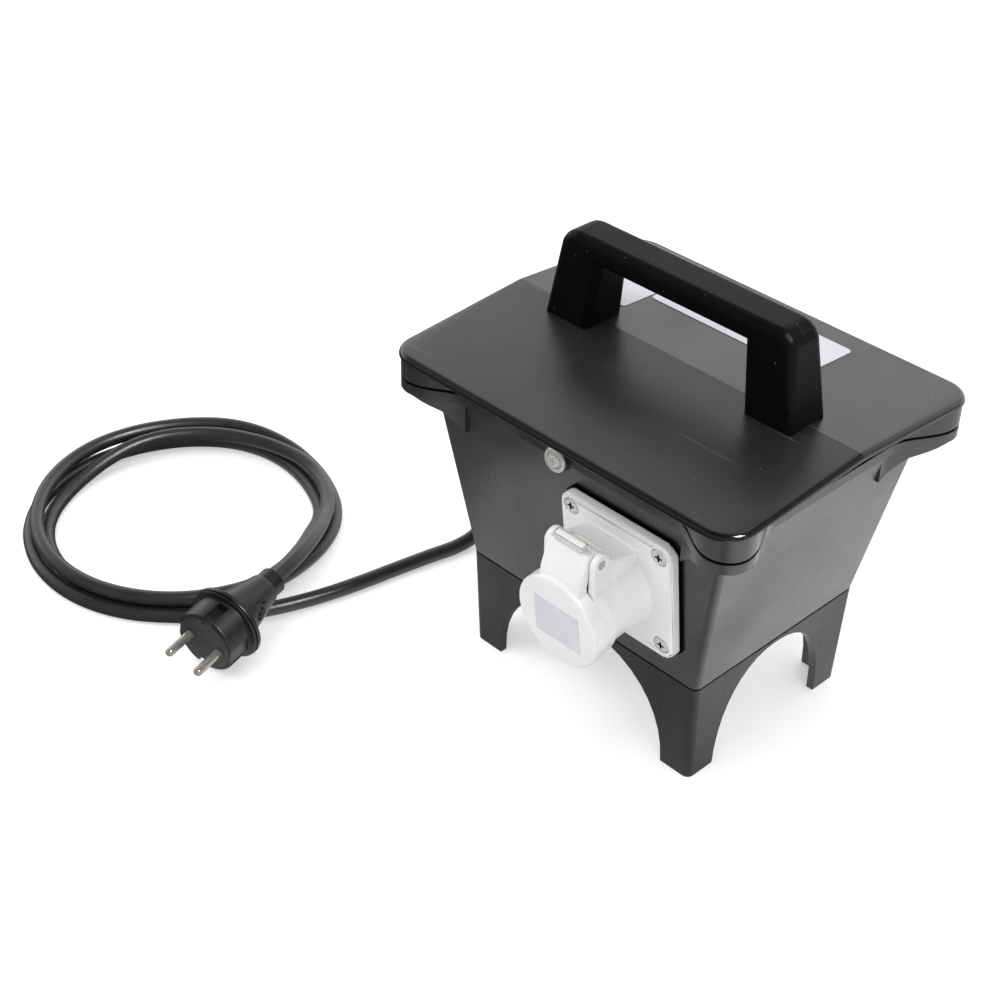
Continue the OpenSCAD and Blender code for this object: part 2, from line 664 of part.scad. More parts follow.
module socket_body() color("#f3f2f0") on_socket() difference() {
    union() {
        translate([0, -flange_drop, pad_t]) cut_square(flange_s, flange_cut, flange_t - flange_edge);
        translate([0, -flange_drop, face_z - flange_edge])
            cut_square(flange_s - 2 * flange_edge, flange_cut, flange_edge);
        translate([-barrel_aside, -barrel_drop, 0]) rotate_extrude() polygon([
            [0, -rear_l], [barrel_foot_d / 2 - rear_taper, -rear_l], [barrel_foot_d / 2 - foot_step, pad_t],
            [barrel_foot_d / 2, face_z], [barrel_d / 2, face_z + flange_cut],
            [barrel_d / 2, collar_z], [collar_d / 2, collar_z], [collar_d / 2, collar_z + collar_l],
            [nose_d / 2, collar_z + collar_l], [nose_d / 2, barrel_reach], [0, barrel_reach]]);
        // Neck block under the roof, then the roof plate
        along_wall(neck_w, [[face_z - over, 0], [collar_z, 0], [collar_z, hinge_up - neck_room],
            [roof_end, roof_end_up - roof_t], [face_z - over, roof_foot - roof_t]]);
        along_wall(roof_w, [[face_z - over, roof_foot - roof_t - over], [roof_end, roof_end_up - roof_t],
            [hinge_out - hinge_boss_r, hinge_up - roof_t], [hinge_out - hinge_boss_r, hinge_up + roof_t],
            [roof_end, roof_end_up], [face_z - over, roof_foot]]);
        for (s = [-1, 1]) hinge_ear(s);
    }
    translate([-barrel_aside, -barrel_drop, -rear_l + wall_t])
        cylinder(d = barrel_bore, h = barrel_reach + rear_l);
    // Room for the strap's knuckles and spring between the ears, open through the roof
    translate([-ear_in, hinge_up - knuckle_r - knuckle_room, hinge_out - knuckle_r - knuckle_room])
        cube([2 * ear_in, 3 * knuckle_r, 3 * knuckle_r]);
    translate([slot_aside - slot_w / 2, hinge_up - knuckle_r - knuckle_room, hinge_out - knuckle_r - slot_l])
        cube([slot_w, 3 * knuckle_r, slot_l + knuckle_r]);
    translate([0, hinge_up, hinge_out]) rotate([0, 90, 0])
        cylinder(d = hinge_pin_d + 2 * fit, h = 2 * strap_w, center = true);
    at_flange_screws() translate([0, 0, pad_t - over])
        cylinder(d = flange_screw_d + 2 * fit, h = flange_t + 2 * over);
    at_flange_screws() translate([0, 0, screw_seat])
        cylinder(d = flange_head_d + 2 * gap, h = screw_sink + screw_below + over);
    for (x = [-1, 1]) translate([x * contact_circle / 2 - barrel_aside, -barrel_drop, -rear_l - over])
        cylinder(d = sleeve_bore, h = wall_t + 2 * over);
}
// A prism across the wall, from an outline in Z and Y of the socket's own frame
module along_wall(width, outline) {
    translate([-width / 2, 0, 0]) rotate([90, 0, 90])
        linear_extrude(width) polygon([for (p = outline) [p[1], p[0]]]);
}
knuckle_r = 4.6;
knuckle_room = 1;
screw_sink = 1.2;
screw_dome = 0.9;
screw_below = 0.6;
// Each ear is a boss round the pin with a thin web down its front and a thinner cheek behind
module hinge_ear(s) {
    translate([s * (ear_in + ear_t / 2), 0, 0]) {
        translate([-ear_t / 2, hinge_up, hinge_out]) rotate([0, 90, 0]) cylinder(r = hinge_boss_r, h = ear_t);
        along_wall(ear_t, [[ear_front - ear_web, 0], [ear_front, 0], [ear_front, ear_bend],
            [hinge_out + hinge_boss_r, hinge_up], [hinge_out + hinge_boss_r - ear_web, hinge_up]]);
        along_wall(ear_t, [[roof_end - ear_tie, hinge_up - roof_t], [hinge_out, hinge_up - hinge_boss_r],
            [hinge_out, hinge_up + roof_t], [roof_end - ear_tie, roof_end_up]]);
    }
    translate([s * (ear_in + ear_cheek / 2), 0, 0]) along_wall(ear_cheek, [[roof_end, 0],
        [ear_front - ear_web / 2, 0], [hinge_out + hinge_boss_r - ear_web, hinge_up],
        [hinge_out - hinge_boss_r, hinge_up], [roof_end - ear_tie, roof_end_up - roof_t]]);
}
screw_seat = face_z - screw_sink - screw_below;
module socket_screws() color("silver") on_socket() at_flange_screws() difference() {
    union() {
        translate([0, 0, screw_seat]) cylinder(d = flange_head_d, h = screw_sink);
        translate([0, 0, screw_seat + screw_sink])
            cylinder(d1 = flange_head_d, d2 = flange_head_d - 4 * screw_dome, h = screw_dome);
        translate([0, 0, -3 * wall_t]) cylinder(d = flange_screw_d, h = screw_seat + 3 * wall_t);
    }
    translate([0, 0, screw_seat + screw_sink + screw_dome]) cross_recess(flange_head_d / 2, screw_sink);
}
carrier_z = 14;
sleeve_short = 1;
module contact_carrier() color("#e9e8e2") on_socket() translate([-barrel_aside, -barrel_drop, 0])
    difference() {
    union() {
        translate([0, 0, -rear_l + wall_t]) cylinder(d = barrel_bore - 2 * gap, h = rear_l);
        for (x = [-1, 1]) translate([x * contact_circle / 2, 0, 0])
            cylinder(d = sleeve_bore + 2 * sleeve_wall + wall_t, h = carrier_z + wall_t);
    }
    for (x = [-1, 1]) translate([x * contact_circle / 2, 0, -rear_l])
        cylinder(d = sleeve_bore + 2 * sleeve_wall + 2 * fit, h = rear_l + carrier_z + wall_t + over);
}
module contact_sleeves() color("#c7a44c") on_socket() translate([-barrel_aside, -barrel_drop, 0])
    for (x = [-1, 1]) translate([x * contact_circle / 2, 0, -rear_l + wall_t]) difference() {
        cylinder(d = sleeve_bore + 2 * sleeve_wall, h = rear_l + carrier_z - sleeve_short);
        translate([0, 0, wall_t]) cylinder(d = sleeve_bore, h = rear_l + carrier_z);
    }

// Flap: a cap with a strap, turning on the pin
module flap_pin() color("#b9bda9") on_socket() translate([0, hinge_up, hinge_out]) rotate([0, 90, 0])
    cylinder(d = hinge_pin_d, h = 2 * (ear_in + ear_t) - gap, center = true);
spring_w = 9;
spring_r = 3.4;
module flap_spring() color("#8d9094") on_socket() translate([0, hinge_up, hinge_out]) rotate([0, 90, 0])
    translate([0, 0, -spring_w / 2]) tube(2 * spring_r, hinge_pin_d + 2 * gap, spring_w);
cap_back = flap_front - cap_t;
cap_bore = 46.2;
cap_rim = 0.8;
strap_foot = 11;
strap_room = 0.8;
ledge_up = 43;
ledge_back = 33.4;
strap_top_out = 36.6;
strap_mid_up = 25;
strap_mid_out = 43.4;
ledge_out = 37.4;
ledge_t = 4;
module flap() color("#f1f0ee") on_socket() difference() {
    union() {
        translate([-barrel_aside, -barrel_drop, 0]) rotate_extrude() polygon([
            [0, cap_back], [cap_d / 2, cap_back], [cap_d / 2, flap_front - cap_rim],
            [cap_d / 2 - cap_rim, flap_front], [0, flap_front]]);
        along_wall(strap_w, [[flap_front - cap_face_t, strap_foot], [flap_front, strap_foot],
            [strap_mid_out, strap_mid_up], [strap_top_out, ledge_up - ledge_t], [hinge_out,
                hinge_up + knuckle_r],
            [hinge_out, hinge_up], [cap_back, collar_d / 2 - barrel_drop + strap_room],
            [cap_back, cap_d / 2 - barrel_drop - cap_t]]);
        along_wall(ledge_w, [[strap_top_out - ledge_nick, ledge_up - ledge_t - ledge_nick], [ledge_out,
            ledge_up - ledge_t],
            [ledge_out - ledge_nick, ledge_up], [ledge_back, ledge_up], [ledge_back,
                hinge_up + knuckle_r - over]]);
        translate([-strap_w / 2, hinge_up, hinge_out]) rotate([0, 90, 0])
            cylinder(r = knuckle_r, h = strap_w);
    }
    translate([-barrel_aside, -barrel_drop, cap_back - over])
        cylinder(d = cap_bore, h = cap_t - cap_face_t + over);
    translate([0, hinge_up, hinge_out]) rotate([0, 90, 0])
        cylinder(d = hinge_pin_d + 2 * fit, h = 2 * strap_w, center = true);
    translate([-spring_w / 2 - gap, hinge_up - 2 * knuckle_r, hinge_out - 2 * knuckle_r])
        cube([spring_w + 2 * gap, 3 * knuckle_r, 2 * knuckle_r + spring_r + gap]);
    // Shallow seat for the panel
    translate([-barrel_aside - panel_l / 2, -barrel_drop - panel_w / 2 - panel_down, flap_front - panel_t])
        cube([panel_l, panel_w, panel_t + over]);
}
panel_t = 0.5;
panel_down = 1;
module flap_panel() color("#dcdbe4") on_socket()
    translate([-barrel_aside - panel_l / 2 + fit, -barrel_drop - panel_w / 2 - panel_down + fit,
        flap_front - panel_t])
        cube([panel_l - 2 * fit, panel_w - 2 * fit, panel_t]);
module flap_seal() color("#6a6c6e") on_socket() translate([-barrel_aside, -barrel_drop, barrel_reach + gap])
    tube(cap_bore - 2 * fit, barrel_bore, flap_front - cap_face_t - barrel_reach - gap);

// Gland on the left wall: Z out of the wall, along the cord
module on_gland() translate([-tub_base_l / 2, case_y + gland_back, tub_z]) rotate([0, -90 - lean_x, 0])
    translate([gland_up, 0, 0]) children();
hex_share = 1.18;
gland_hex = gland_d * hex_share;
gland_flange_t = 5;
thread_step = 1;
dome_step = 1;
dome_lip = 2;
module gland_body() color("#1d1d1e") on_gland() difference() {
    union() {
        cylinder(d = gland_hex, h = gland_flange_t, $fn = 6);
        translate([0, 0, -gland_inner]) cylinder(d = gland_d, h = gland_inner + over);
        cylinder(d = gland_d - 2 * thread_step, h = gland_flange_t + gland_dome_l / 3);
    }
    translate([0, 0, -gland_inner - over])
        cylinder(d = cord_d + 2 * gap, h = gland_inner + gland_dome_l + 2 * over);
    translate([0, 0, gland_flange_t]) cylinder(d = seal_d + 2 * fit, h = gland_dome_l);
}
gland_inner = 12;
seal_d = 13;
module gland_seal() color("#3a3a3a") on_gland() translate([0, 0, gland_flange_t])
    tube(seal_d, cord_d + 2 * fit, gland_dome_l / 3 + over);
module gland_dome() color("#1d1d1e") on_gland() translate([0, 0, gland_flange_t]) difference() {
    rotate_extrude() polygon([[0, 0], [gland_hex / 2 - dome_step, 0], [gland_hex / 2 - dome_step,
        gland_dome_l / 2],
        [cord_d / 2 + dome_lip, gland_dome_l], [0, gland_dome_l]]);
    translate([0, 0, -over]) cylinder(d = cord_d + 2 * gap, h = gland_dome_l + 2 * over);
    translate([0, 0, -over]) cylinder(d = gland_d - 2 * thread_step + 2 * fit,
        h = gland_dome_l / 3 + 2 * over);
}
locknut_t = 4;
module gland_locknut() color("#1d1d1e") on_gland() translate([0, 0, -wall_t - locknut_t]) difference() {
    cylinder(d = gland_hex, h = locknut_t, $fn = 6);
    translate([0, 0, -over]) cylinder(d = gland_d + 2 * fit, h = locknut_t + 2 * over);
}

// Cord: the points of its route on the floor, chosen by hand
cord_z = cord_d / 2 + 0.1;
// Three loops lie on the floor in two layers. Each pair: the angle run so far, and how far
// outside the middle radius the cord is there
coil_middle = [-267, -100];
coil_from = -42;
coil_out = [[0, 7], [40, 7.4], [80, 7.2], [172, -1], [188, -1.6], [254, -10], [278, -10], [338, 3.2],
    [368, 2.5], [448, 2.5], [494, 4.5], [530, 3.4], [570, 3.6], [622, -1], [668, -3.6], [740, -2],
    [784, -2.2], [866, -7.5], [925, -7.5], [965, -5], [994, -5]];
// The same for its lift above the floor, where one loop lies over another
coil_lift = [[0, 0], [256, 0], [300, 8.9], [340, 8.9], [366, 8.2], [400, 8.2], [430, 9.1], [548, 9.1],
    [608, 0], [824, 0], [884, 9.1], [950, 9.1], [968, 8.6], [994, 11.5]];
// All loops swell out together on one side
coil_swell = 2.4;
coil_swell_at = 48;
coil_turned = 994;
function row_of(rows, a, i = 0) = i + 2 >= len(rows) || a < rows[i + 1][0] ? i : row_of(rows, a, i + 1);
function along(rows, a) = let (i = row_of(rows, a), r0 = rows[i], r1 = rows[i + 1])
    r0[1] + (r1[1] - r0[1]) * ease((a - r0[0]) / (r1[0] - r0[0]));
function coil_at(a) = let (g = coil_from - a,
    r = coil_r + along(coil_out, a) + coil_swell * pow(max(0, cos(g - coil_swell_at)), 4))
    [coil_middle[0] + r * cos(g), coil_middle[1] + r * sin(g), cord_z + along(coil_lift, a)];
coil_rings = 72;
coil_points = [for (i = [0:coil_rings]) coil_at(coil_turned * i / coil_rings)];

gland_end = gland_flange_t + gland_dome_l;
out_x = -cos(lean_x);
out_z = -sin(lean_x);
gland_x = -tub_base_l / 2 - gland_up * sin(lean_x);
gland_z = tub_z + gland_up * cos(lean_x);
function on_axis(t) = [gland_x + out_x * t, case_y + gland_back, gland_z + out_z * t];
// One bend between two points, each with its heading and how far it pulls along it
function bend_at(a, way_a, pull_a, b, way_b, pull_b, t) = pow(1 - t, 3) * a
    + 3 * pow(1 - t, 2) * t * (a + pull_a * way_a) + 3 * (1 - t) * t * t * (b - pull_b * way_b)
    + pow(t, 3) * b;
lead_bends = 10;
lead_lands = [-140.5, -4, cord_z];
lead_way = unit([-0.16, -1, 0]);
lead_pull_out = 48;
lead_pull_in = 45;
lead_points = concat([for (i = [0:lead_bends]) bend_at(on_axis(gland_end), [out_x, 0, out_z],
    lead_pull_out, lead_lands, lead_way, lead_pull_in, i / lead_bends)],
    [[-143.8, -20, cord_z], [-148, -43, cord_z], [-153, -71, cord_z],
    [-159, -95, cord_z], [-169, -121, cord_z], [-183, -144, cord_z]], [coil_at(0)]);

// Where the plug lies: the middle of its face, its heading, dip and roll
plug_at = [-151.7, -173.6, 20.7];
plug_heading = -77.5;
plug_dip = 5.5;
plug_roll = 76;
plug_way = [cos(plug_dip) * cos(plug_heading), cos(plug_dip) * sin(plug_heading), -sin(plug_dip)];
end_bends = 7;
end_rise = 0.22;
end_pull_out = 30;
end_pull_in = 34;
coil_last_way = unit(coil_at(coil_turned) - coil_at(coil_turned - 1));
end_way = unit([coil_last_way[0], coil_last_way[1], end_rise]);
end_points = [for (i = [0:end_bends]) bend_at(coil_at(coil_turned), end_way, end_pull_out,
    plug_at - plug_l * plug_way, plug_way, end_pull_in, i / end_bends)];

// A smooth run through points, and a tube swept along it
function knot(p, i) = i < 0 ? 2 * p[0] - p[1] : i >= len(p) ? 2 * p[len(p) - 1] - p[len(p) - 2] : p[i];
function smooth_at(a, b, c, d, t) = (2 * b + (c - a) * t + (2 * a - 5 * b + 4 * c - d) * t * t
    + (3 * b - a - 3 * c + d) * t * t * t) / 2;
function smooth(p, n) = concat([for (i = [0:len(p) - 2], j = [0:n - 1])
    smooth_at(knot(p, i - 1), p[i], p[i + 1], knot(p, i + 2), j / n)], [p[len(p) - 1]]);
function unit(v) = v / norm(v);
function heading(p, i) = unit(knot(p, i + 1) - knot(p, i - 1));
function carried(p, n, i = 0) = i >= len(p) ? [] :
    let (t = heading(p, i), m = unit(n - (n * t) * t)) concat([[m, cross(t, m)]], carried(p, m, i + 1));
module sweep(p, d, sides, start, first, last) {
    frames = carried(p, start);
    heads = [for (i = [0:len(p) - 1]) i == 0 && first != undef ? first : i == len(p) - 1 && last != undef
        ? last : undef];
    rings = [for (i = [0:len(p) - 1]) let (f = heads[i] == undef ? frames[i]
        : let (m = unit(frames[i][0] - (frames[i][0] * heads[i]) * heads[i])) [m, cross(heads[i], m)])
        [for (k = [0:sides - 1]) p[i] + d / 2 * (cos(360 * k / sides) * f[0] + sin(360 * k / sides) * f[1])]];
    points = [for (r = rings) each r];
    last_ring = len(p) - 1;
    faces = concat([[for (k = [0:sides - 1]) k]],
        [for (i = [0:last_ring - 1], k = [0:sides - 1]) let (a = i * sides + k,
            b = i * sides + (k + 1) % sides)
            each [[a, a + sides, b], [b, a + sides, b + sides]]],
        [[for (k = [sides - 1:-1:0]) last_ring * sides + k]]);
    polyhedron(points, faces);
}
cord_sides = 8;
coil_way = unit(coil_at(1) - coil_at(0));
module cord_lead() color("#19191a") sweep(smooth(lead_points, 3), cord_d, cord_sides, [0, 1, 0],
    [out_x, 0, out_z], coil_way);
module cord_coil() color("#19191a") sweep(coil_points, cord_d, cord_sides, [0, 0, 1], coil_way, end_way);
module cord_end() color("#19191a") sweep(smooth(end_points, 3), cord_d, cord_sides, [0, 0, 1],
    end_way, plug_way);

// The least gap of the whole cord to itself, measured on points a few degrees apart
cord_run = concat(smooth(lead_points, 6), [for (a = [4:4:coil_turned - 1]) coil_at(a)],
    smooth(end_points, 6));
near_n = 8;
self_gap = min([for (i = [0:len(cord_run) - 1], j = [i + near_n:1:len(cord_run) - 1])
    norm(cord_run[i] - cord_run[j])]) - cord_d;
function run_length(p, i = 0, sum = 0) = i + 1 >= len(p) ? sum : run_length(p, i + 1,
    sum + norm(p[i + 1] - p[i]));
echo("least gap of the cord to itself", self_gap, "length", run_length(cord_run));

module cord_tail() color("#19191a") on_gland() translate([0, 0, -tail_l])
    cylinder(d = cord_d, h = tail_l + gland_end);
// The tail stops before the core
core_room = 3.8;
tail_l = core_side - core_room;

// Plug: Z along its pins, X across them, the origin in the middle of its face
module on_plug() translate(plug_at) rotate([0, 0, plug_heading]) rotate([0, 90 + plug_dip, 0])
    rotate([0, 0, plug_roll]) children();
plug_collar_z = -16;
plug_collar_t = 4;
plug_bevel = 1;
plug_ring_l = 8;
plug_ring_d = 15.6;
plug_waist_d = 31;
face_cup_d = 33;
face_cup_t = 6;
notch_w = 6;
notch_deep = 5;
notch_l = 14;
flat_deep = 1.6;
flat_w = 12;
module plug_cuts() {
    for (s = [-1, 1]) {
        translate([-notch_w / 2, s > 0 ? plug_face_d / 2 - notch_deep : -plug_face_d / 2 - over, -notch_l])
            cube([notch_w, notch_deep + over, notch_l + over]);
        translate([s > 0 ? plug_face_d / 2 - flat_deep : -plug_face_d / 2 - over, -flat_w / 2, -notch_l])
            cube([flat_deep + over, flat_w, notch_l + over]);
    }
}
module plug_body() color("#1b1b1c") on_plug() difference() {
    rotate_extrude() polygon([[0, 0], [plug_face_d / 2 - plug_bevel, 0], [plug_face_d / 2, -plug_bevel],
        [plug_face_d / 2, plug_collar_z], [plug_collar_d / 2 - plug_bevel, plug_collar_z],
        [plug_collar_d / 2, plug_collar_z - plug_bevel], [plug_collar_d / 2, plug_collar_z - plug_collar_t],
        [plug_waist_d / 2, plug_collar_z - plug_collar_t],
            [plug_ring_d / 2 + plug_bevel, -plug_l + plug_ring_l],
        [plug_ring_d / 2, -plug_l + plug_ring_l], [plug_ring_d / 2, -plug_l], [0, -plug_l]]);
    translate([0, 0, -face_cup_t]) cylinder(d = face_cup_d, h = face_cup_t + over);
    plug_cuts();
    at_pins() translate([0, 0, -pin_root]) cylinder(d = pin_root_d + 2 * fit, h = pin_root);
}
module at_pins() for (x = [-1, 1]) translate([x * pin_gap / 2, 0, 0]) children();
pin_root = 14;
pin_root_d = 4;
module plug_face() color("#2a2a2b") on_plug() difference() {
    translate([0, 0, -face_cup_t]) cylinder(d = face_cup_d - 2 * fit, h = face_cup_t);
    plug_cuts();
    at_pins() translate([0, 0, -face_cup_t - over])
        cylinder(d = pin_root_d + 2 * fit, h = face_cup_t + 2 * over);
}
module plug_pins() color("#cfd1d2") on_plug() at_pins() union() {
    translate([0, 0, -pin_root]) cylinder(d = pin_root_d, h = pin_root + over);
    cylinder(d = pin_d, h = pin_l - pin_d / 2);
    translate([0, 0, pin_l - pin_d / 2]) sphere(d = pin_d, $fn = 24);
}

// Transformer on its base plate
plate_end = 11.3;
plate_side = 14;
base_plate_l = tub_base_l - 2 * plate_end;
base_plate_w = tub_base_w - 2 * plate_side;
post_h = 3;
plate_z = floor_z + post_h;
core_z = plate_z + plate_t;
window_share = 1 / 6;
core_l = tub_base_l - 2 * core_side;
window_w = core_l * window_share;
secondary_t = window_w - gap - bobbin_t - primary_t - wrap_t - winding_air;
window_h = core_h - 2 * window_w;
leg_w = core_l - 4 * window_w;
module in_core() in_case() translate([0, core_back, core_z]) children();
core_bolt_places = [for (x = [-1, 1], z = [0, 1])
    [x * (core_l / 2 - window_w / 2), window_w / 2 + z * (core_h - window_w)]];
module at_core_bolts() for (p = core_bolt_places) translate([p[0], 0, p[1]]) rotate([90, 0, 0]) children();
module core_laminations() color("#4d4f52") in_core() difference() {
    translate([-core_l / 2, -core_stack / 2, 0]) cube([core_l, core_stack, core_h]);
    for (s = [-1, 1]) translate([s * (leg_w + window_w) / 2 - window_w / 2, -core_stack / 2 - over, window_w])
        cube([window_w, core_stack + 2 * over, window_h]);
    at_core_bolts() cylinder(d = core_bolt_d + 2 * fit, h = core_stack + 2 * over, center = true);
}
// A rectangular ring round the middle leg
module coil_ring(inner, build, h) difference() {
    translate([-leg_w / 2 - inner - build, -core_stack / 2 - inner - build, 0])
        cube([leg_w + 2 * (inner + build), core_stack + 2 * (inner + build), h]);
    translate([-leg_w / 2 - inner, -core_stack / 2 - inner, -over])
        cube([leg_w + 2 * inner, core_stack + 2 * inner, h + 2 * over]);
}
cheek = window_w - gap;
cheek_t = 1.2;
wind_h = window_h - 2 * gap - 2 * cheek_t;
module in_window() in_core() translate([0, 0, window_w + gap]) children();
module bobbin() color("#d8d2c0") in_window() {
    coil_ring(gap, bobbin_t, window_h - 2 * gap);
    for (z = [0, window_h - 2 * gap - cheek_t]) translate([0, 0, z]) coil_ring(gap, cheek - gap, cheek_t);
}
module winding(inner, build) in_window() translate([0, 0, cheek_t])
    coil_ring(gap + bobbin_t + inner, build, wind_h);
module primary_winding() color("#b06a34") winding(0, primary_t);
module secondary_winding() color("#b9743a") winding(primary_t + wrap_t, secondary_t);
module winding_wrap() color("#d9b23c") winding(primary_t, wrap_t);
bracket_w = 12;
module core_brackets() color("#8f9295") in_core() for (s = [-1, 1]) mirror([0, s > 0 ? 1 : 0, 0])
    difference() {
    union() {
        translate([-core_l / 2, -core_stack / 2 - plate_t, 0]) cube([core_l, plate_t, window_w]);
        translate([-core_l / 2, -core_stack / 2 - plate_t - bracket_w, 0])
            cube([core_l, bracket_w + over, plate_t]);
        translate([-core_l / 2, -core_stack / 2 - plate_t, core_h - window_w])
            cube([core_l, plate_t, window_w]);
    }
    at_core_bolts() cylinder(d = core_bolt_d + 2 * fit, h = 2 * core_stack, center = true);
}
bolt_head_d = 8;
bolt_head_h = 3;
module core_bolts() color("#a9acae") in_core() at_core_bolts() {
    cylinder(d = core_bolt_d, h = core_stack + 2 * plate_t + 2 * bolt_head_h, center = true);
    for (s = [0, 1]) mirror([0, 0, s]) translate([0, 0, core_stack / 2 + plate_t])
        cylinder(d = bolt_head_d, h = bolt_head_h, $fn = 6);
}
module base_plate() color("#9c9fa2") in_case() difference() {
    translate([-base_plate_l / 2, -base_plate_w / 2, plate_z]) cube([base_plate_l, base_plate_w, plate_t]);
    for (p = base_screw_places) translate([p[0], p[1], plate_z - over])
        cylinder(d = base_screw_d + 2 * fit, h = plate_t + 2 * over);
}
module base_screws() color("silver") in_case() for (p = base_screw_places)
    translate([p[0], p[1], floor_z + gap]) {
        cylinder(d = base_screw_d, h = post_h + plate_t);
        translate([0, 0, post_h + plate_t - gap]) cylinder(d = 2 * base_screw_d, h = base_screw_d / 2);
    }

// Terminals, cord clamp and thermal cut-out stand on the base plate
cutout_room = 1;
side_x = core_l / 2 + cutout_room;
block_l = 34;
block_w = 12;
block_h = 16;
block_y = -42;
block_x = -core_l / 2;
terminal_n = 4;
terminal_d = 3.6;
terminal_sink = 1;
module terminal_block() color("#e6e2d6") in_case() translate([block_x, block_y, core_z]) difference() {
    cube([block_l, block_w, block_h]);
    for (i = [0:terminal_n - 1]) translate([block_l * (i + 0.5) / terminal_n, block_w / 2, block_h / 2])
        cylinder(d = terminal_d + 2 * fit, h = block_h);
}
module terminal_screws() color("silver") in_case() for (i = [0:terminal_n - 1])
    translate([block_x + block_l * (i + 0.5) / terminal_n, block_y + block_w / 2, core_z + block_h / 2])
        cylinder(d = terminal_d, h = block_h / 2 - terminal_sink);
clamp_w = 8;
clamp_t = 3;
clamp_back = 1;
module cord_clamp() color("#1f1f20") on_gland() translate([0, 0, -tail_l + clamp_back]) difference() {
    translate([-cord_d / 2 - clamp_t, -cord_d / 2 - clamp_t - clamp_w, 0])
        cube([cord_d + 2 * clamp_t, cord_d + 2 * clamp_t + 2 * clamp_w, clamp_w]);
    translate([0, 0, -over]) cylinder(d = cord_d + 2 * fit, h = clamp_w + 2 * over);
    at_clamp_screws() translate([0, 0, -cord_d]) cylinder(d = terminal_d + 2 * fit, h = 2 * cord_d);
}
module at_clamp_screws() for (s = [-1, 1])
    translate([0, s * (cord_d / 2 + clamp_t + clamp_w / 2 - clamp_back), clamp_w / 2]) rotate([0, 90, 0])
        children();
module clamp_screws() color("silver") on_gland() translate([0, 0, -tail_l + clamp_back]) at_clamp_screws() {
    translate([0, 0, -cord_d / 2 - clamp_t]) cylinder(d = terminal_d, h = cord_d + 2 * clamp_t);
    translate([0, 0, cord_d / 2 + clamp_t]) cylinder(d = 2 * terminal_d, h = terminal_d / 2);
}
cutout_l = 10;
cutout_w = 22;
cutout_h = 26;
module thermal_cutout() color("#3b3b3d") in_case() translate([side_x, -cutout_w, core_z]) {
    cube([cutout_l, cutout_w, cutout_h]);
    for (y = [cutout_w / 4, 3 * cutout_w / 4]) translate([cutout_l / 2, y, cutout_h - over])
        cylinder(d = lead_d, h = 2 * lead_d);
}

// Leads: short insulated wires from piece to piece
lead_sides = 8;
lead_start = [1, 3, 1];
module wire(p) { sweep(smooth(p, 3), lead_d, lead_sides, unit(lead_start), unit(p[1] - p[0]), undef); }
cheek_top = core_z + core_h - window_w - gap;
on_cheek = cheek_top + lead_d / 2 + fit;
module primary_leads() color("#7b4a26") in_case() {
    x0 = block_x + block_l * 1.5 / terminal_n;
    x1 = -leg_w / 2 - primary_t;
    y0 = block_y + block_w / 2;
    y1 = core_back - core_stack / 2 - window_w - 2 * lead_d;
    wire([[x0, y0, core_z + block_h], [x0, y0, core_z + block_h + 2 * lead_d],
        [(x0 + x1) / 2, (y0 + y1) / 2, core_z + core_h / 2], [x1, y1, cheek_top - 2 * lead_d],
        [x1, y1 + lead_d, on_cheek + lead_d / 2], [x1, y1 + 4 * lead_d, on_cheek]]);
}
// A place given in the socket's frame, told in the part's frame
function from_socket(x, up, out) = [socket_x + x,
    case_y - tub_base_w / 2 - (socket_up + up) * sin(lean_y) - out * cos(lean_y),
    tub_z + (socket_up + up) * cos(lean_y) - out * sin(lean_y)];
module secondary_leads() color("#2f4f86") for (x = [-1, 1]) {
    y1 = case_y + core_back - core_stack / 2 - window_w - 2 * lead_d;
    x0 = x * contact_circle / 2 - barrel_aside;
    x1 = leg_w / 2 + primary_t + x * 2 * lead_d;
    wire([from_socket(x0, -barrel_drop, -rear_l + wall_t),
        from_socket(x0, -barrel_drop, -rear_l + wall_t - lead_d),
        [(x0 + socket_x + x1) / 2, y1 - lead_d, (cheek_top + tub_z + socket_up) / 2],
        [x1, y1, cheek_top - 2 * lead_d], [x1, y1 + lead_d, on_cheek + lead_d / 2], [x1, y1 + 4 * lead_d,
            on_cheek]]);
}

lid_cover();
handle();
handle_screws();
lid_gasket();
lid_screws();
lid_screw_cups();
lid_inserts();
tall_label();
long_label();
tub();
leg_frame();
leg_frame_screws();
socket_gasket();
socket_body();
contact_carrier();
contact_sleeves();
socket_screws();
flap_pin();
flap_spring();
flap();
flap_seal();
flap_panel();
gland_body();
gland_dome();
gland_seal();
gland_locknut();
cord_tail();
cord_lead();
cord_coil();
cord_end();
plug_body();
plug_face();
plug_pins();
core_laminations();
bobbin();
primary_winding();
secondary_winding();
winding_wrap();
core_brackets();
core_bolts();
base_plate();
base_screws();
terminal_block();
terminal_screws();
cord_clamp();
clamp_screws();
thermal_cutout();
primary_leads();
secondary_leads();
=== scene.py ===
"""Looks of a portable isolation transformer, built as an add-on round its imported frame."""

import json
import math

import bmesh
import bpy
from mathutils import Matrix, Vector

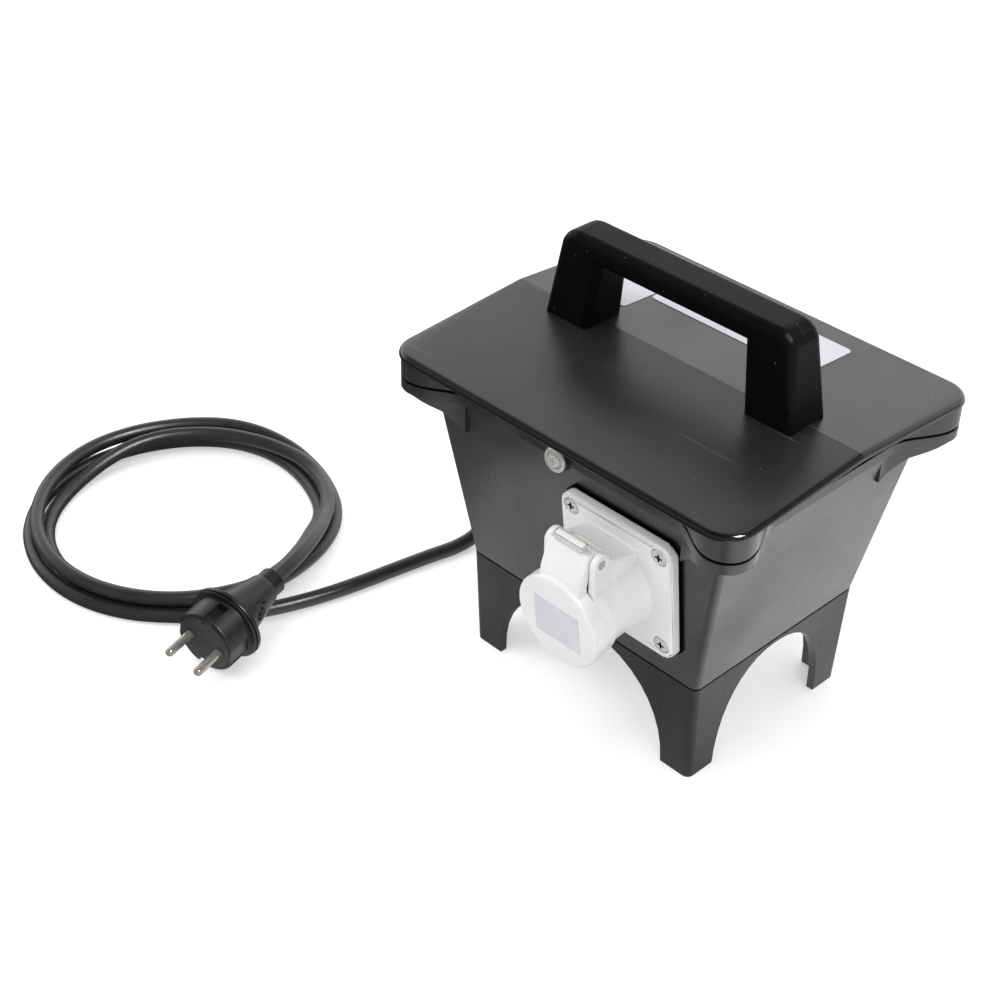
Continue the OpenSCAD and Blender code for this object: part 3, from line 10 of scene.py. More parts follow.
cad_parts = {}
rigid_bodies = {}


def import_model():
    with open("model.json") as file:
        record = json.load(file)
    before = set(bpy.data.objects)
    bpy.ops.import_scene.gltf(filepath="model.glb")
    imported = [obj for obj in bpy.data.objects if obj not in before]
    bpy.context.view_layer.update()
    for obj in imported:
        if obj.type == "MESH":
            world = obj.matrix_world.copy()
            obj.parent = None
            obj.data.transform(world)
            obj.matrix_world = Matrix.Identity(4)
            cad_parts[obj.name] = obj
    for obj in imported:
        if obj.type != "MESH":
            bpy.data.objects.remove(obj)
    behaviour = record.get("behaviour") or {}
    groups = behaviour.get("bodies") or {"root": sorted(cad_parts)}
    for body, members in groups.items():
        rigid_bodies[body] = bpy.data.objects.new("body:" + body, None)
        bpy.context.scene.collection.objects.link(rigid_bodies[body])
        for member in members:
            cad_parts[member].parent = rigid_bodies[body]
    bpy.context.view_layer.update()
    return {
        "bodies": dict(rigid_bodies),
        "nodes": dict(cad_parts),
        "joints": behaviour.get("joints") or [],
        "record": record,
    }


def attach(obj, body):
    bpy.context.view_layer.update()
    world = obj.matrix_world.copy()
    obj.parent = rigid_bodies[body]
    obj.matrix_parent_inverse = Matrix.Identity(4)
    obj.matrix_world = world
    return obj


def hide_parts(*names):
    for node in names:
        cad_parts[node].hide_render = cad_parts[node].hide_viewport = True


bl_info = {
    "name": "Isolation transformer looks",
    "version": (1, 0, 0),
    "blender": (4, 5, 0),
    "location": "3D View > Sidebar > Transformer",
    "description": "Gives the packed transformer its cord, small parts and finishes",
    "category": "Object",
}

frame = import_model()
NODES = frame["nodes"]
MM = 0.001
SHARP_ANGLE, SMOOTH_ANGLE = 32, 38
SAME_PLACE = 2e-6


# Small helpers


def mm(*values):
    """A point given in millimetres, in metres."""
    return Vector([v * MM for v in values])


def tone(code):
    """A colour written as six hex digits, as the shader's linear values."""
    parts = [int(code[i : i + 2], 16) / 255 for i in (0, 2, 4)]
    linear = [c / 12.92 if c <= 0.04045 else ((c + 0.055) / 1.055) ** 2.4 for c in parts]
    return (*linear, 1)


def deselect():
    for o in bpy.context.selected_objects:
        o.select_set(False)


def only(piece):
    deselect()
    piece.select_set(True)
    bpy.context.view_layer.objects.active = piece
    return piece


def edit(piece, change):
    """Runs change on the piece's edit mesh, with nothing selected."""
    only(piece)
    bpy.ops.object.mode_set(mode="EDIT")
    bpy.ops.mesh.select_all(action="DESELECT")
    change(bmesh.from_edit_mesh(piece.data))
    bmesh.update_edit_mesh(piece.data)
    bpy.ops.object.mode_set(mode="OBJECT")


def settle(piece):
    """Moves the piece's place into its mesh."""
    only(piece)
    bpy.ops.object.transform_apply(location=True, rotation=True, scale=True)
    return piece


def modify(piece, kind, **settings):
    """Adds a modifier and applies it."""
    only(piece)
    bpy.ops.object.modifier_add(type=kind)
    made = piece.modifiers[-1]
    for name, value in settings.items():
        setattr(made, name, value)
    bpy.ops.object.modifier_apply(modifier=made.name)


def smooth(piece, angle=SMOOTH_ANGLE):
    only(piece)
    bpy.ops.object.shade_smooth_by_angle(angle=math.radians(angle))


def weigh(piece):
    """Shades the piece smooth, with its flat faces kept flat."""
    smooth(piece)
    modify(piece, "WEIGHTED_NORMAL", keep_sharp=True, weight=100)


def soften(piece, width, segments=2):
    """Rounds the piece's sharp edges and shades it smooth."""
    if width:
        modify(
            piece,
            "BEVEL",
            width=width * MM,
            segments=segments,
            limit_method="ANGLE",
            angle_limit=math.radians(SHARP_ANGLE),
            use_clamp_overlap=False,
            miter_outer="MITER_ARC",
        )
    weigh(piece)


def from_node(name, node, width=0.4, segments=2, merge=0.05, shape=None):
    """A finished copy of a CAD node: merged, shaped, its edges rounded. It stands for the node."""
    only(NODES[node])
    bpy.ops.object.duplicate()
    piece = bpy.context.view_layer.objects.active
    piece.name = name
    piece.parent = None
    for key in list(piece.keys()):
        del piece[key]
    piece.data.materials.clear()
    bpy.ops.mesh.customdata_custom_splitnormals_clear()
    bpy.ops.object.mode_set(mode="EDIT")
    bpy.ops.mesh.select_all(action="SELECT")
    bpy.ops.mesh.remove_doubles(threshold=SAME_PLACE)
    if merge:
        bpy.ops.mesh.dissolve_limited(angle_limit=math.radians(merge))
    bpy.ops.object.mode_set(mode="OBJECT")
    if shape:
        shape(piece)
    soften(piece, width, segments)
    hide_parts(node)
    return piece


def joined(name, parts):
    deselect()
    for p in parts:
        p.select_set(True)
    bpy.context.view_layer.objects.active = parts[0]
    if len(parts) > 1:
        bpy.ops.object.join()
    parts[0].name = name
    return parts[0]


def dress(piece, material, body="case"):
    """Gives the piece its one finish and the body it rides on."""
    piece.data.materials.clear()
    piece.data.materials.append(material)
    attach(piece, body)
    return piece


# Shader groups


def put(tree, kind, inputs=None, **settings):
    """Adds a node, sets it, and links or fills its inputs."""
    made = tree.nodes.new(kind)
    for name, value in settings.items():
        setattr(made, name, value)
    for name, value in (inputs or {}).items():
        if isinstance(value, bpy.types.NodeSocket):
            tree.links.new(value, made.inputs[name])
        else:
            made.inputs[name].default_value = value
    return made


def maths(tree, operation, first, second=0.0):
    """The result of one Math node."""
    return put(tree, "ShaderNodeMath", {0: first, 1: second}, operation=operation).outputs[0]


def scaled(tree, value, by):
    return maths(tree, "MULTIPLY", value, by)


def less(tree, value):
    """One less the value."""
    return maths(tree, "SUBTRACT", 1.0, value)


def ranged(tree, value, start, end, low=0.0, high=1.0, **settings):
    """A value moved from one range to another and held at its ends."""
    sockets = {"Value": value, "From Min": start, "From Max": end, "To Min": low, "To Max": high}
    return put(tree, "ShaderNodeMapRange", sockets, **settings).outputs["Result"]


def noise(tree, place, scale, detail, roughness=0.5):
    """Noise that mostly lies between a third and two thirds."""
    sockets = {"Vector": place, "Scale": scale, "Detail": detail, "Roughness": roughness}
    return put(tree, "ShaderNodeTexNoise", sockets).outputs["Fac"]


def start_group(name, given, result):
    """A group with a vector input for None, a number's input for each default, and one result."""
    tree = bpy.data.node_groups.new(name, "ShaderNodeTree")
    for socket, value in given.items():
        kind = "NodeSocketVector" if value is None else "NodeSocketFloat"
        made = tree.interface.new_socket(socket, in_out="INPUT", socket_type=kind)
        if value is not None:
            made.default_value = value
    tree.interface.new_socket(result, in_out="OUTPUT", socket_type="NodeSocketFloat")
    return tree, put(tree, "NodeGroupInput").outputs, put(tree, "NodeGroupOutput").inputs[0]


def group_clouds():
    """Soft patches between two values."""
    sockets = {"Place": None, "Scale": 20.0, "Low": 0.0, "High": 1.0}
    tree, given, out = start_group("Clouds", sockets, "Value")
    patches = noise(tree, given["Place"], given["Scale"], 4.0, 0.6)
    tree.links.new(ranged(tree, patches, 0.32, 0.68, given["Low"], given["High"]), out)
    return tree


def group_grain():
    """The fine pebbled skin of a moulded part."""
    tree, given, out = start_group("Moulded grain", {"Place": None, "Scale": 900.0}, "Height")
    sockets = {"Vector": given["Place"], "Scale": given["Scale"], "Smoothness": 0.6}
    cells = put(tree, "ShaderNodeTexVoronoi", sockets, feature="SMOOTH_F1")
    fine = noise(tree, given["Place"], given["Scale"], 2.0)
    tree.links.new(maths(tree, "ADD", cells.outputs["Distance"], fine), out)
    return tree


def group_specks():
    """Scattered dust specks, as a mask."""
    sockets = {"Place": None, "Scale": 260.0, "Size": 0.09, "Share": 0.12}
    tree, given, out = start_group("Dust specks", sockets, "Mask")
    cells = put(tree, "ShaderNodeTexVoronoi", {"Vector": given["Place"], "Scale": given["Scale"]})
    near = maths(tree, "LESS_THAN", cells.outputs["Distance"], given["Size"])
    split = put(tree, "ShaderNodeSeparateColor", {"Color": cells.outputs["Color"]})
    chosen = maths(tree, "LESS_THAN", split.outputs["Red"], given["Share"])
    tree.links.new(maths(tree, "MULTIPLY", near, chosen), out)
    return tree


# Turn in radians and stretch of the two directions of scratches
SCRATCHES = ((0.5, 42.0), (-0.9, 30.0))


def group_scuffs():
    """Fine handling scratches in two directions, as a mask."""
    tree, given, out = start_group("Scuffs", {"Place": None, "Scale": 14.0}, "Mask")
    masks = []
    for turn, stretch in SCRATCHES:
        sockets = {
            "Vector": given["Place"], "Rotation": (0.0, 0.0, turn), "Scale": (1.0, stretch, 1.0)
        }
        drawn = put(tree, "ShaderNodeMapping", sockets).outputs["Vector"]
        masks.append(ranged(tree, noise(tree, drawn, given["Scale"], 1.0), 0.7, 0.76))
    where = ranged(tree, noise(tree, given["Place"], given["Scale"], 2.0), 0.5, 0.7)
    tree.links.new(maths(tree, "MULTIPLY", maths(tree, "MAXIMUM", *masks), where), out)
    return tree


def group_edges():
    """Rubbed convex edges, as a mask."""
    tree, given, out = start_group("Edge wear", {"Place": None, "Start": 0.53}, "Mask")
    pointed = put(tree, "ShaderNodeNewGeometry").outputs["Pointiness"]
    edge = ranged(tree, pointed, given["Start"], maths(tree, "ADD", given["Start"], 0.1))
    broken = ranged(tree, noise(tree, given["Place"], 180.0, 3.0), 0.4, 0.65)
    tree.links.new(maths(tree, "MULTIPLY", edge, broken), out)
    return tree


def group_line():
    """A thin straight line where a coordinate meets a value, as a mask."""
    sockets = {"Value": 0.0, "At": 0.0, "Half": 0.0003}
    tree, given, out = start_group("Thin line", sockets, "Mask")
    far = maths(tree, "ABSOLUTE", maths(tree, "SUBTRACT", given["Value"], given["At"]))
    tree.links.new(ranged(tree, far, 0.0, given["Half"], 1.0, 0.0), out)
    return tree


# The lid's plate from above and the band round its edge that painted shade darkens, in millimetres
CASE_Y = 13.0236
RIM_HALF = (112, 92)
RIM_CORNER = 16
RIM_BAND, RIM_SOFT = 2.4, 0.5
RIM_FROM = 177.6


def group_rim():
    """The band round the lid's turned down edge, as a mask: painted shade darkens its colour there,
    and its roughness is lowered.
    """
    tree, given, out = start_group("Rim shade band", {"Place": None}, "Mask")
    parts = put(tree, "ShaderNodeSeparateXYZ", {"Vector": given["Place"]}).outputs
    squares = []
    for axis, middle, half in (("X", 0.0, RIM_HALF[0]), ("Y", CASE_Y, RIM_HALF[1])):
        far = maths(tree, "ABSOLUTE", maths(tree, "SUBTRACT", parts[axis], middle * MM))
        past = maths(tree, "MAXIMUM", maths(tree, "SUBTRACT", far, (half - RIM_CORNER) * MM))
        squares.append(maths(tree, "POWER", past, 2.0))
    reach = maths(tree, "SQRT", maths(tree, "ADD", *squares))
    inner = RIM_CORNER - RIM_BAND
    band = ranged(tree, reach, inner * MM, (inner + RIM_SOFT) * MM)
    high = maths(tree, "GREATER_THAN", parts["Z"], RIM_FROM * MM)
    tree.links.new(maths(tree, "MULTIPLY", band, high), out)
    return tree


GROUPS = {}
GROUP_MAKERS = {
    "rim": group_rim,
    "line": group_line,
    "clouds": group_clouds,
    "grain": group_grain,
    "specks": group_specks,
    "scuffs": group_scuffs,
    "edges": group_edges,
}


def shared(tree, name, inputs):
    """The result of a group node, whose group is made once."""
    if name not in GROUPS:
        GROUPS[name] = GROUP_MAKERS[name]()
    return put(tree, "ShaderNodeGroup", inputs, node_tree=GROUPS[name]).outputs[0]


# Finishes


def start_material(name, **sockets):
    """A Principled material with its constants set. Returns tree, shader and place."""
    material = bpy.data.materials.new(name)
    material.use_nodes = True
    tree = material.node_tree
    shader = tree.nodes["Principled BSDF"]
    for socket, value in sockets.items():
        shader.inputs[socket.replace("_", " ")].default_value = value
    place = put(tree, "ShaderNodeTexCoord").outputs["Object"]
    return material, tree, shader, place


def mix(tree, share, first, second):
    """One colour laid over another."""
    sockets = {0: share, 6: first, 7: second}
    return put(tree, "ShaderNodeMix", sockets, data_type="RGBA").outputs[2]


def bumped(tree, shader, height, distance):
    """Adds a bump over any that the shader has."""
    bump = put(tree, "ShaderNodeBump", {"Height": height, "Distance": distance * MM})
    for link in shader.inputs["Normal"].links:
        tree.links.new(link.from_socket, bump.inputs["Normal"])
    tree.links.new(bump.outputs["Normal"], shader.inputs["Normal"])


# How surfaces look: tones of dust, rubbed edges and the painted shade round the lid's edge, and
# shares of the masks
DUST_TONE, WORN_TONE, RIM_SHADE_TONE = "c8c8c4", "8a8a8a", "030303"
SEAM_AND_SHADE_SHARE, RIM_POLISH = 0.8, 0.5
GLOSS_PATCHES = 0.7
METAL_PATCHES, METAL_STRETCH, METAL_SCALE, METAL_LINES = 90.0, (1.0, 1.0, 14.0), 160.0, 0.03
STRIPED_PATCHES, STRIPED_GLOSS = 60.0, 80.0


def clouded(tree, place, scale, low=0.0, high=1.0):
    """Soft patches between two values, at a scale."""
    return shared(tree, "clouds", {"Place": place, "Scale": scale, "Low": low, "High": high})


def plastic(
    name,
    colour,
    shade,
    rough=(0.3, 0.42),
    clouds=18.0,
    grain=(900.0, 0.02),
    dust=0.0,
    scuffs=0.0,
    wear=0.0,
    level=0.5,
    seam_and_shade_lines=(),
    seam_depth=0.15,
    seam_and_shade_tone="040404",
    rim=0.0,
):
    """Moulded plastic or rubber, with patches, grain, dust, scuffs, dark lines and rubbed edges;
    the lines are moulding lines on some parts and painted shade in grooves on others, and a band
    round the lid's edge is painted shade.
    """
    material, tree, shader, place = start_material(name, Specular_IOR_Level=level)
    base = mix(tree, clouded(tree, place, clouds), tone(colour), tone(shade))
    gloss = clouded(tree, place, clouds * GLOSS_PATCHES, *rough)
    if scuffs:
        mask = scaled(tree, shared(tree, "scuffs", {"Place": place}), scuffs)
        base = mix(tree, mask, base, tone(WORN_TONE))
    if dust:
        mask = scaled(tree, shared(tree, "specks", {"Place": place}), dust)
        base = mix(tree, mask, base, tone(DUST_TONE))
    if wear:
        mask = scaled(tree, shared(tree, "edges", {"Place": place}), wear)
        base = mix(tree, mask, base, tone(WORN_TONE))
    # Dark lines: moulding lines on the legs and handle, painted shade in the grooves of the flap's
    # ledge.
    seam_and_shade = None
    for axis, at, half in seam_and_shade_lines:
        parts = put(tree, "ShaderNodeSeparateXYZ", {"Vector": place})
        drawn = {"Value": parts.outputs[axis], "At": at * MM, "Half": half * MM}
        line = shared(tree, "line", drawn)
        seam_and_shade = line if seam_and_shade is None else maths(tree, "MAXIMUM", seam_and_shade, line)
    if seam_and_shade:
        base = mix(tree, scaled(tree, seam_and_shade, SEAM_AND_SHADE_SHARE), base, tone(seam_and_shade_tone))
    # The band round the lid's edge: painted shade darkens the colour, and the surface is made
    # glossier.
    if rim:
        mask = scaled(tree, shared(tree, "rim", {"Place": place}), rim)
        base = mix(tree, mask, base, tone(RIM_SHADE_TONE))
        gloss = scaled(tree, gloss, less(tree, scaled(tree, mask, RIM_POLISH)))
    tree.links.new(base, shader.inputs["Base Color"])
    tree.links.new(gloss, shader.inputs["Roughness"])
    bumped(tree, shader, shared(tree, "grain", {"Place": place, "Scale": grain[0]}), grain[1])
    if seam_and_shade:
        bumped(tree, shader, scaled(tree, seam_and_shade, -1.0), seam_depth)
    return material


def metal(name, colour, shade, rough=(0.2, 0.34), full=1.0):
    """Turned or rolled metal with fine drawn lines."""
    material, tree, shader, place = start_material(name, Metallic=full)
    patch = clouded(tree, place, METAL_PATCHES)
    tree.links.new(mix(tree, patch, tone(colour), tone(shade)), shader.inputs["Base Color"])
    drawn = put(tree, "ShaderNodeMapping", {"Vector": place, "Scale": METAL_STRETCH})
    lines = clouded(tree, drawn.outputs["Vector"], METAL_SCALE, *rough)
    tree.links.new(lines, shader.inputs["Roughness"])
    bumped(tree, shader, lines, METAL_LINES)
    return material


def striped(name, colour, line, pitch, axis, rough, metallic=0.0, share=0.2, depth=0.2):
    """Fine even lines along one axis: stacked sheets or turns of wire."""
    material, tree, shader, place = start_material(name, Metallic=metallic)
    parts = put(tree, "ShaderNodeSeparateXYZ", {"Vector": place})
    count = scaled(tree, parts.outputs[axis], 1 / (pitch * MM))
    far = maths(tree, "ABSOLUTE", maths(tree, "SUBTRACT", maths(tree, "FRACT", count), 0.5))
    dark = ranged(tree, far, 0.5 - share, 0.5)
    tinted = mix(tree, clouded(tree, place, STRIPED_PATCHES, 0.0, 0.5), tone(colour), tone(line))
    tree.links.new(mix(tree, dark, tinted, tone(line)), shader.inputs["Base Color"])
    gloss = clouded(tree, place, STRIPED_GLOSS, *rough)
    tree.links.new(gloss, shader.inputs["Roughness"])
    bumped(tree, shader, less(tree, dark), depth)
    return material


# Places of the leg frame's moulding lines and of the painted shade lines in the finger ledge's
# grooves, in millimetres
WITNESS_X, WITNESS_Y = 56.4, 39.5
LEDGE_SHADE_LINES = (149.4, 150.5, 151.5)
FINISHES = {}


def finish(name):
    """The object's finishes by name, each made once."""
    if name in FINISHES:
        return FINISHES[name]
    made = {
        # The band round the lid's edge is painted shade.
        "lid": lambda: plastic(
            "lid_black_satin", "161617", "242425", rough=(0.24, 0.4), clouds=16.0,
            grain=(1400.0, 0.006), dust=0.26, scuffs=0.3, wear=0.1, level=0.9, rim=1.0,
        ),
        "tub": lambda: plastic(
            "tub_black_satin", "0f0f10", "2f2f30", rough=(0.22, 0.46), clouds=14.0,
            grain=(1300.0, 0.006), dust=0.2, scuffs=0.2, wear=0.1, level=1.0,
        ),
        "legs": lambda: plastic(
            "leg_black_matte", "1a1a1b", "242425", rough=(0.38, 0.5), clouds=22.0,
            grain=(1000.0, 0.012), dust=0.2, scuffs=0.05, wear=0.08, level=0.5,
            seam_and_shade_lines=[("X", -WITNESS_X, 0.22), ("X", WITNESS_X, 0.22),
                   ("Y", CASE_Y - WITNESS_Y, 0.22), ("Y", CASE_Y + WITNESS_Y, 0.22)],
        ),
        "handle": lambda: plastic(
            "handle_black_grained", "050506", "090909", rough=(0.36, 0.44), clouds=30.0,
            grain=(1500.0, 0.03), dust=0.15, wear=0.05, level=0.11,
            seam_and_shade_lines=[("Y", CASE_Y, 0.25)],
        ),
        "gasket": lambda: plastic(
            "gasket_rubber", "020202", "040404", rough=(0.6, 0.75), grain=(1200.0, 0.02), level=0.05
        ),
        "socket": lambda: plastic(
            "socket_white", "eceaec", "e6e4e6", rough=(0.28, 0.36), clouds=40.0,
            grain=(1500.0, 0.004),
        ),
        # The ledge's lines are painted shade in its grooves.
        "flap": lambda: plastic(
            "flap_white", "ebe9ea", "e5e3e5", rough=(0.24, 0.33), clouds=40.0,
            grain=(1500.0, 0.004), seam_and_shade_lines=[("Z", up, 0.3) for up in LEDGE_SHADE_LINES],
            seam_depth=0.3, seam_and_shade_tone="6a6a6c",
        ),
        "panel": lambda: plastic(
            "flap_panel_pale", "d6d6de", "cdcdd6", rough=(0.35, 0.45), clouds=70.0,
            grain=(1500.0, 0.006),
        ),
        "label": lambda: plastic(
            "label_vinyl", "d2d2d8", "c9c9d0", rough=(0.2, 0.3), clouds=30.0,
            grain=(700.0, 0.01), dust=0.25,
        ),
        "carrier": lambda: plastic("carrier_moulding", "e2e0d8", "d8d6cc", rough=(0.4, 0.5)),
        "cord": lambda: plastic(
            "cord_rubber", "19191a", "222223", rough=(0.34, 0.44), clouds=60.0,
            grain=(1100.0, 0.02), dust=0.12, level=1.0,
        ),
        "plug": lambda: plastic(
            "plug_rubber", "0d0d0e", "161617", rough=(0.28, 0.4), clouds=50.0,
            grain=(1200.0, 0.02), dust=0.15, level=0.7,
        ),
        "plug_face": lambda: plastic(
            "plug_face_hard", "2a2a2b", "343435", rough=(0.32, 0.42), clouds=60.0,
            grain=(1400.0, 0.008), dust=0.15, level=0.8,
        ),
        "gland": lambda: plastic(
            "gland_nylon", "151516", "1d1d1e", rough=(0.35, 0.45), clouds=40.0,
            grain=(1200.0, 0.01), dust=0.2,
        ),
        # Near black: painted shade for holes and recesses.
        "hole": lambda: plastic("hole_painted_shade", "030303", "060606", rough=(0.6, 0.7), level=0.1),
        "leaf": lambda: plastic("spring_leaf", "e8e9dc", "dadbcd", rough=(0.35, 0.45)),
        "seal": lambda: plastic("flap_seal_foam", "5d5f61", "6c6e70", rough=(0.7, 0.85)),
        "steel": lambda: metal("screw_steel", "e2e0dd", "c9c7c4", rough=(0.2, 0.34), full=0.4),
        "cup": lambda: metal("cup_steel", "e0deda", "c6c4c0", rough=(0.1, 0.24), full=0.5),
        "nickel": lambda: metal("pin_nickel", "cfcac5", "b3aea9", rough=(0.1, 0.2), full=0.75),
        "brass": lambda: metal("contact_brass", "b08d45", "94743a", rough=(0.22, 0.38)),
        "pin": lambda: metal("hinge_pin_steel", "b4b4a6", "98998b", rough=(0.3, 0.42), full=0.5),
        "spring": lambda: metal("flap_spring_steel", "7b7656", "5f5b44", rough=(0.25, 0.4)),
        "zinc": lambda: metal("bracket_zinc", "9a9c9e", "84878a", rough=(0.32, 0.5)),
        "sheets": lambda: striped(
            "core_sheets", "55565a", "2c2d30", 0.5, "Y", (0.35, 0.55), metallic=0.9
        ),
        "wire": lambda: striped(
            "winding_copper", "b5622e", "5a2814", 0.9, "Z", (0.2, 0.32), metallic=1.0, share=0.3
        ),
        "tape": lambda: striped(
            "winding_tape", "d9b43a", "b08c22", 9.0, "Z", (0.3, 0.4), share=0.04, depth=0.05
        ),
        "bobbin": lambda: plastic("bobbin_nylon", "d8d2c0", "cbc4b0", rough=(0.4, 0.5)),
        "block": lambda: plastic("terminal_polyamide", "e6e2d6", "d9d4c5", rough=(0.38, 0.48)),
        "cutout": lambda: plastic("cutout_case", "2f2f31", "3a3a3d", rough=(0.4, 0.5)),
        "brown": lambda: plastic("lead_brown", "5c3319", "6d3f20", rough=(0.35, 0.45)),
        "blue": lambda: plastic("lead_blue", "22406f", "2b4c80", rough=(0.35, 0.45)),
    }[name]()
    FINISHES[name] = made
    return made


def paint(names, finish_name):
    """Gives CAD nodes that stay a finish of their own."""
    for n in names:
        NODES[n].data.materials.clear()
        NODES[n].data.materials.append(finish(finish_name))


# Sizes, camera and light that a user may change


class TransformerView(bpy.types.PropertyGroup):
    """Camera and light."""

    place: bpy.props.FloatVectorProperty(
        name="Camera place", description="Where the camera stands", size=3, subtype="TRANSLATION",
        default=(0.5018, -0.606476, 0.6626),
    )
    azimuth: bpy.props.FloatProperty(
        name="Azimuth", description="Turn round the object", subtype="ANGLE",
        default=math.radians(45.17),
    )
    elevation: bpy.props.FloatProperty(
        name="Elevation", description="Angle above the floor", subtype="ANGLE",
        default=math.radians(35.33),
    )
    roll: bpy.props.FloatProperty(
        name="Roll", description="Tilt of the picture", subtype="ANGLE",
        default=math.radians(1.45),
    )
    lens: bpy.props.FloatProperty(
        name="Lens", description="Focal length on a 36 mm sensor", default=68.18
    )
    floor_size: bpy.props.FloatProperty(
        name="Floor", description="Length of the floor's side", subtype="DISTANCE", default=24.0
    )
    sky: bpy.props.FloatProperty(
        name="Sky", description="Strength of the even light all round", default=0.84
    )


class TransformerCord(bpy.types.PropertyGroup):
    """The mains cord."""

    diameter: bpy.props.FloatProperty(
        name="Diameter", description="Outer diameter of the cord", subtype="DISTANCE",
        default=0.0084,
    )
    boot_length: bpy.props.FloatProperty(
        name="Boot", description="Length of the strain relief at the gland", subtype="DISTANCE",
        default=0.024,
    )
    boot_width: bpy.props.FloatProperty(
        name="Boot width", description="Diameter of the strain relief at the gland",
        subtype="DISTANCE", default=0.0134,
    )


class TransformerEdges(bpy.types.PropertyGroup):
    """Radii of moulded edges, in millimetres."""

    lid: bpy.props.FloatProperty(name="Lid", description="Lid's edges in mm", default=0.35)
    tub: bpy.props.FloatProperty(name="Tub", description="Tub's edges in mm", default=0.2)
    legs: bpy.props.FloatProperty(name="Legs", description="Leg frame's edges in mm", default=0.5)
    handle: bpy.props.FloatProperty(name="Handle", description="Handle's edges in mm", default=0.6)
    socket: bpy.props.FloatProperty(name="Socket", description="Socket's edges in mm", default=0.5)
    small: bpy.props.FloatProperty(name="Small parts", description="Small edges in mm", default=0.2)


# Camera and stage


class TRANSFORMER_OT_camera(bpy.types.Operator):
    """Sets the camera at the place of the picture"""

    bl_idname = "transformer.camera"
    bl_label = "Camera"

    def execute(self, context):
        v = context.scene.transformer_view
        sa, ca = math.sin(v.azimuth), math.cos(v.azimuth)
        se, ce = math.sin(v.elevation), math.cos(v.elevation)
        forward = Vector((-ce * sa, ce * ca, -se))
        level = Vector((ca, sa, 0))
        upright = level.cross(forward)
        right = level * math.cos(v.roll) + upright * math.sin(v.roll)
        up = upright * math.cos(v.roll) - level * math.sin(v.roll)
        bpy.ops.object.camera_add()
        camera = context.object
        camera.name = "picture_camera"
        camera.matrix_world = Matrix.Translation(Vector(v.place)) @ Matrix(
            (right, up, -forward)
        ).transposed().to_4x4()
        camera.data.sensor_width = 36
        camera.data.lens = v.lens
        camera.data.clip_end = 60
        context.scene.camera = camera
        return {"FINISHED"}


# Soft lights that mirrors don't show: name, place, target, size in metres, power in watts
SOFT_LIGHTS = (
    ("key_light", (-0.9, -1.3, 1.7), (0, 0, 0.1), (1.2, 1.2), 8.5),
    ("top_light", (0.1, -0.9, 2.2), (0, 0, 0.1), (1.0, 1.0), 8),
    ("side_light", (1.4, -0.5, 1.1), (0.04, -0.1, 0.1), (0.9, 0.9), 3.8),
    ("back_light", (-0.6, 1.6, 1.1), (0, 0, 0.15), (2.0, 0.9), 10),
)
# A light that shows only in mirrors
SOFTBOX = ("softbox", (0.85, 0.05, 1.3), (0.0, 0.0, 0.2), (0.4, 0.4), 22)


def lamp(name, place, target, size, power):
    bpy.ops.object.light_add(type="AREA", location=place)
    made = bpy.context.object
    made.name = name
    made.data.shape = "RECTANGLE"
    made.data.size, made.data.size_y = size
    made.data.energy = power
    made.rotation_euler = (Vector(target) - Vector(place)).to_track_quat("-Z", "Y").to_euler()
    return made


# The floor's paper, to the eye and in mirrors, where it glows with a painted reflection
FLOOR_GREY, FLOOR_MIRROR_GREY, FLOOR_GLOW = 0.82, 0.04, 0.42
FLOOR_ROUGH, FLOOR_LEVEL = 0.9, 0.1
# What shiny pieces see of the floor, a painted reflection that glows lighter and darker by place:
# brightness along X plus Y, in metres
MIRROR_PEAK = 2.2
PAINTED_MIRROR_FLOOR = [
    (-0.6, 0.08), (-0.37, 0.12), (-0.28, 0.72), (-0.18, 0.7), (-0.06, 0.35), (0.03, 0.6),
    (0.1, 1.15), (0.25, 1.3), (0.5, 1.0),
]


# The sky in mirrors: brightness from low to high, and its fall away from the camera
SKY_HEIGHTS, SKY_BRIGHTNESS = (0.4, 0.78), (1.35, 0.35)
SKY_AWAY, SKY_FALL, SKY_LEAST = (-0.709, 0.705, 0), (-0.05, 0.55), 0.22


def grey(value):
    return (value, value, value, 1)


def fill_ramp(ramp, stops, peak):
    """Sets a ramp's greys from places and values."""
    first, last = stops[0][0], stops[-1][0]
    while len(ramp.elements) < len(stops):
        ramp.elements.new(0.5)
    for element, (at, value) in zip(ramp.elements, stops):
        element.position = (at - first) / (last - first)
        element.color = grey(value / peak)


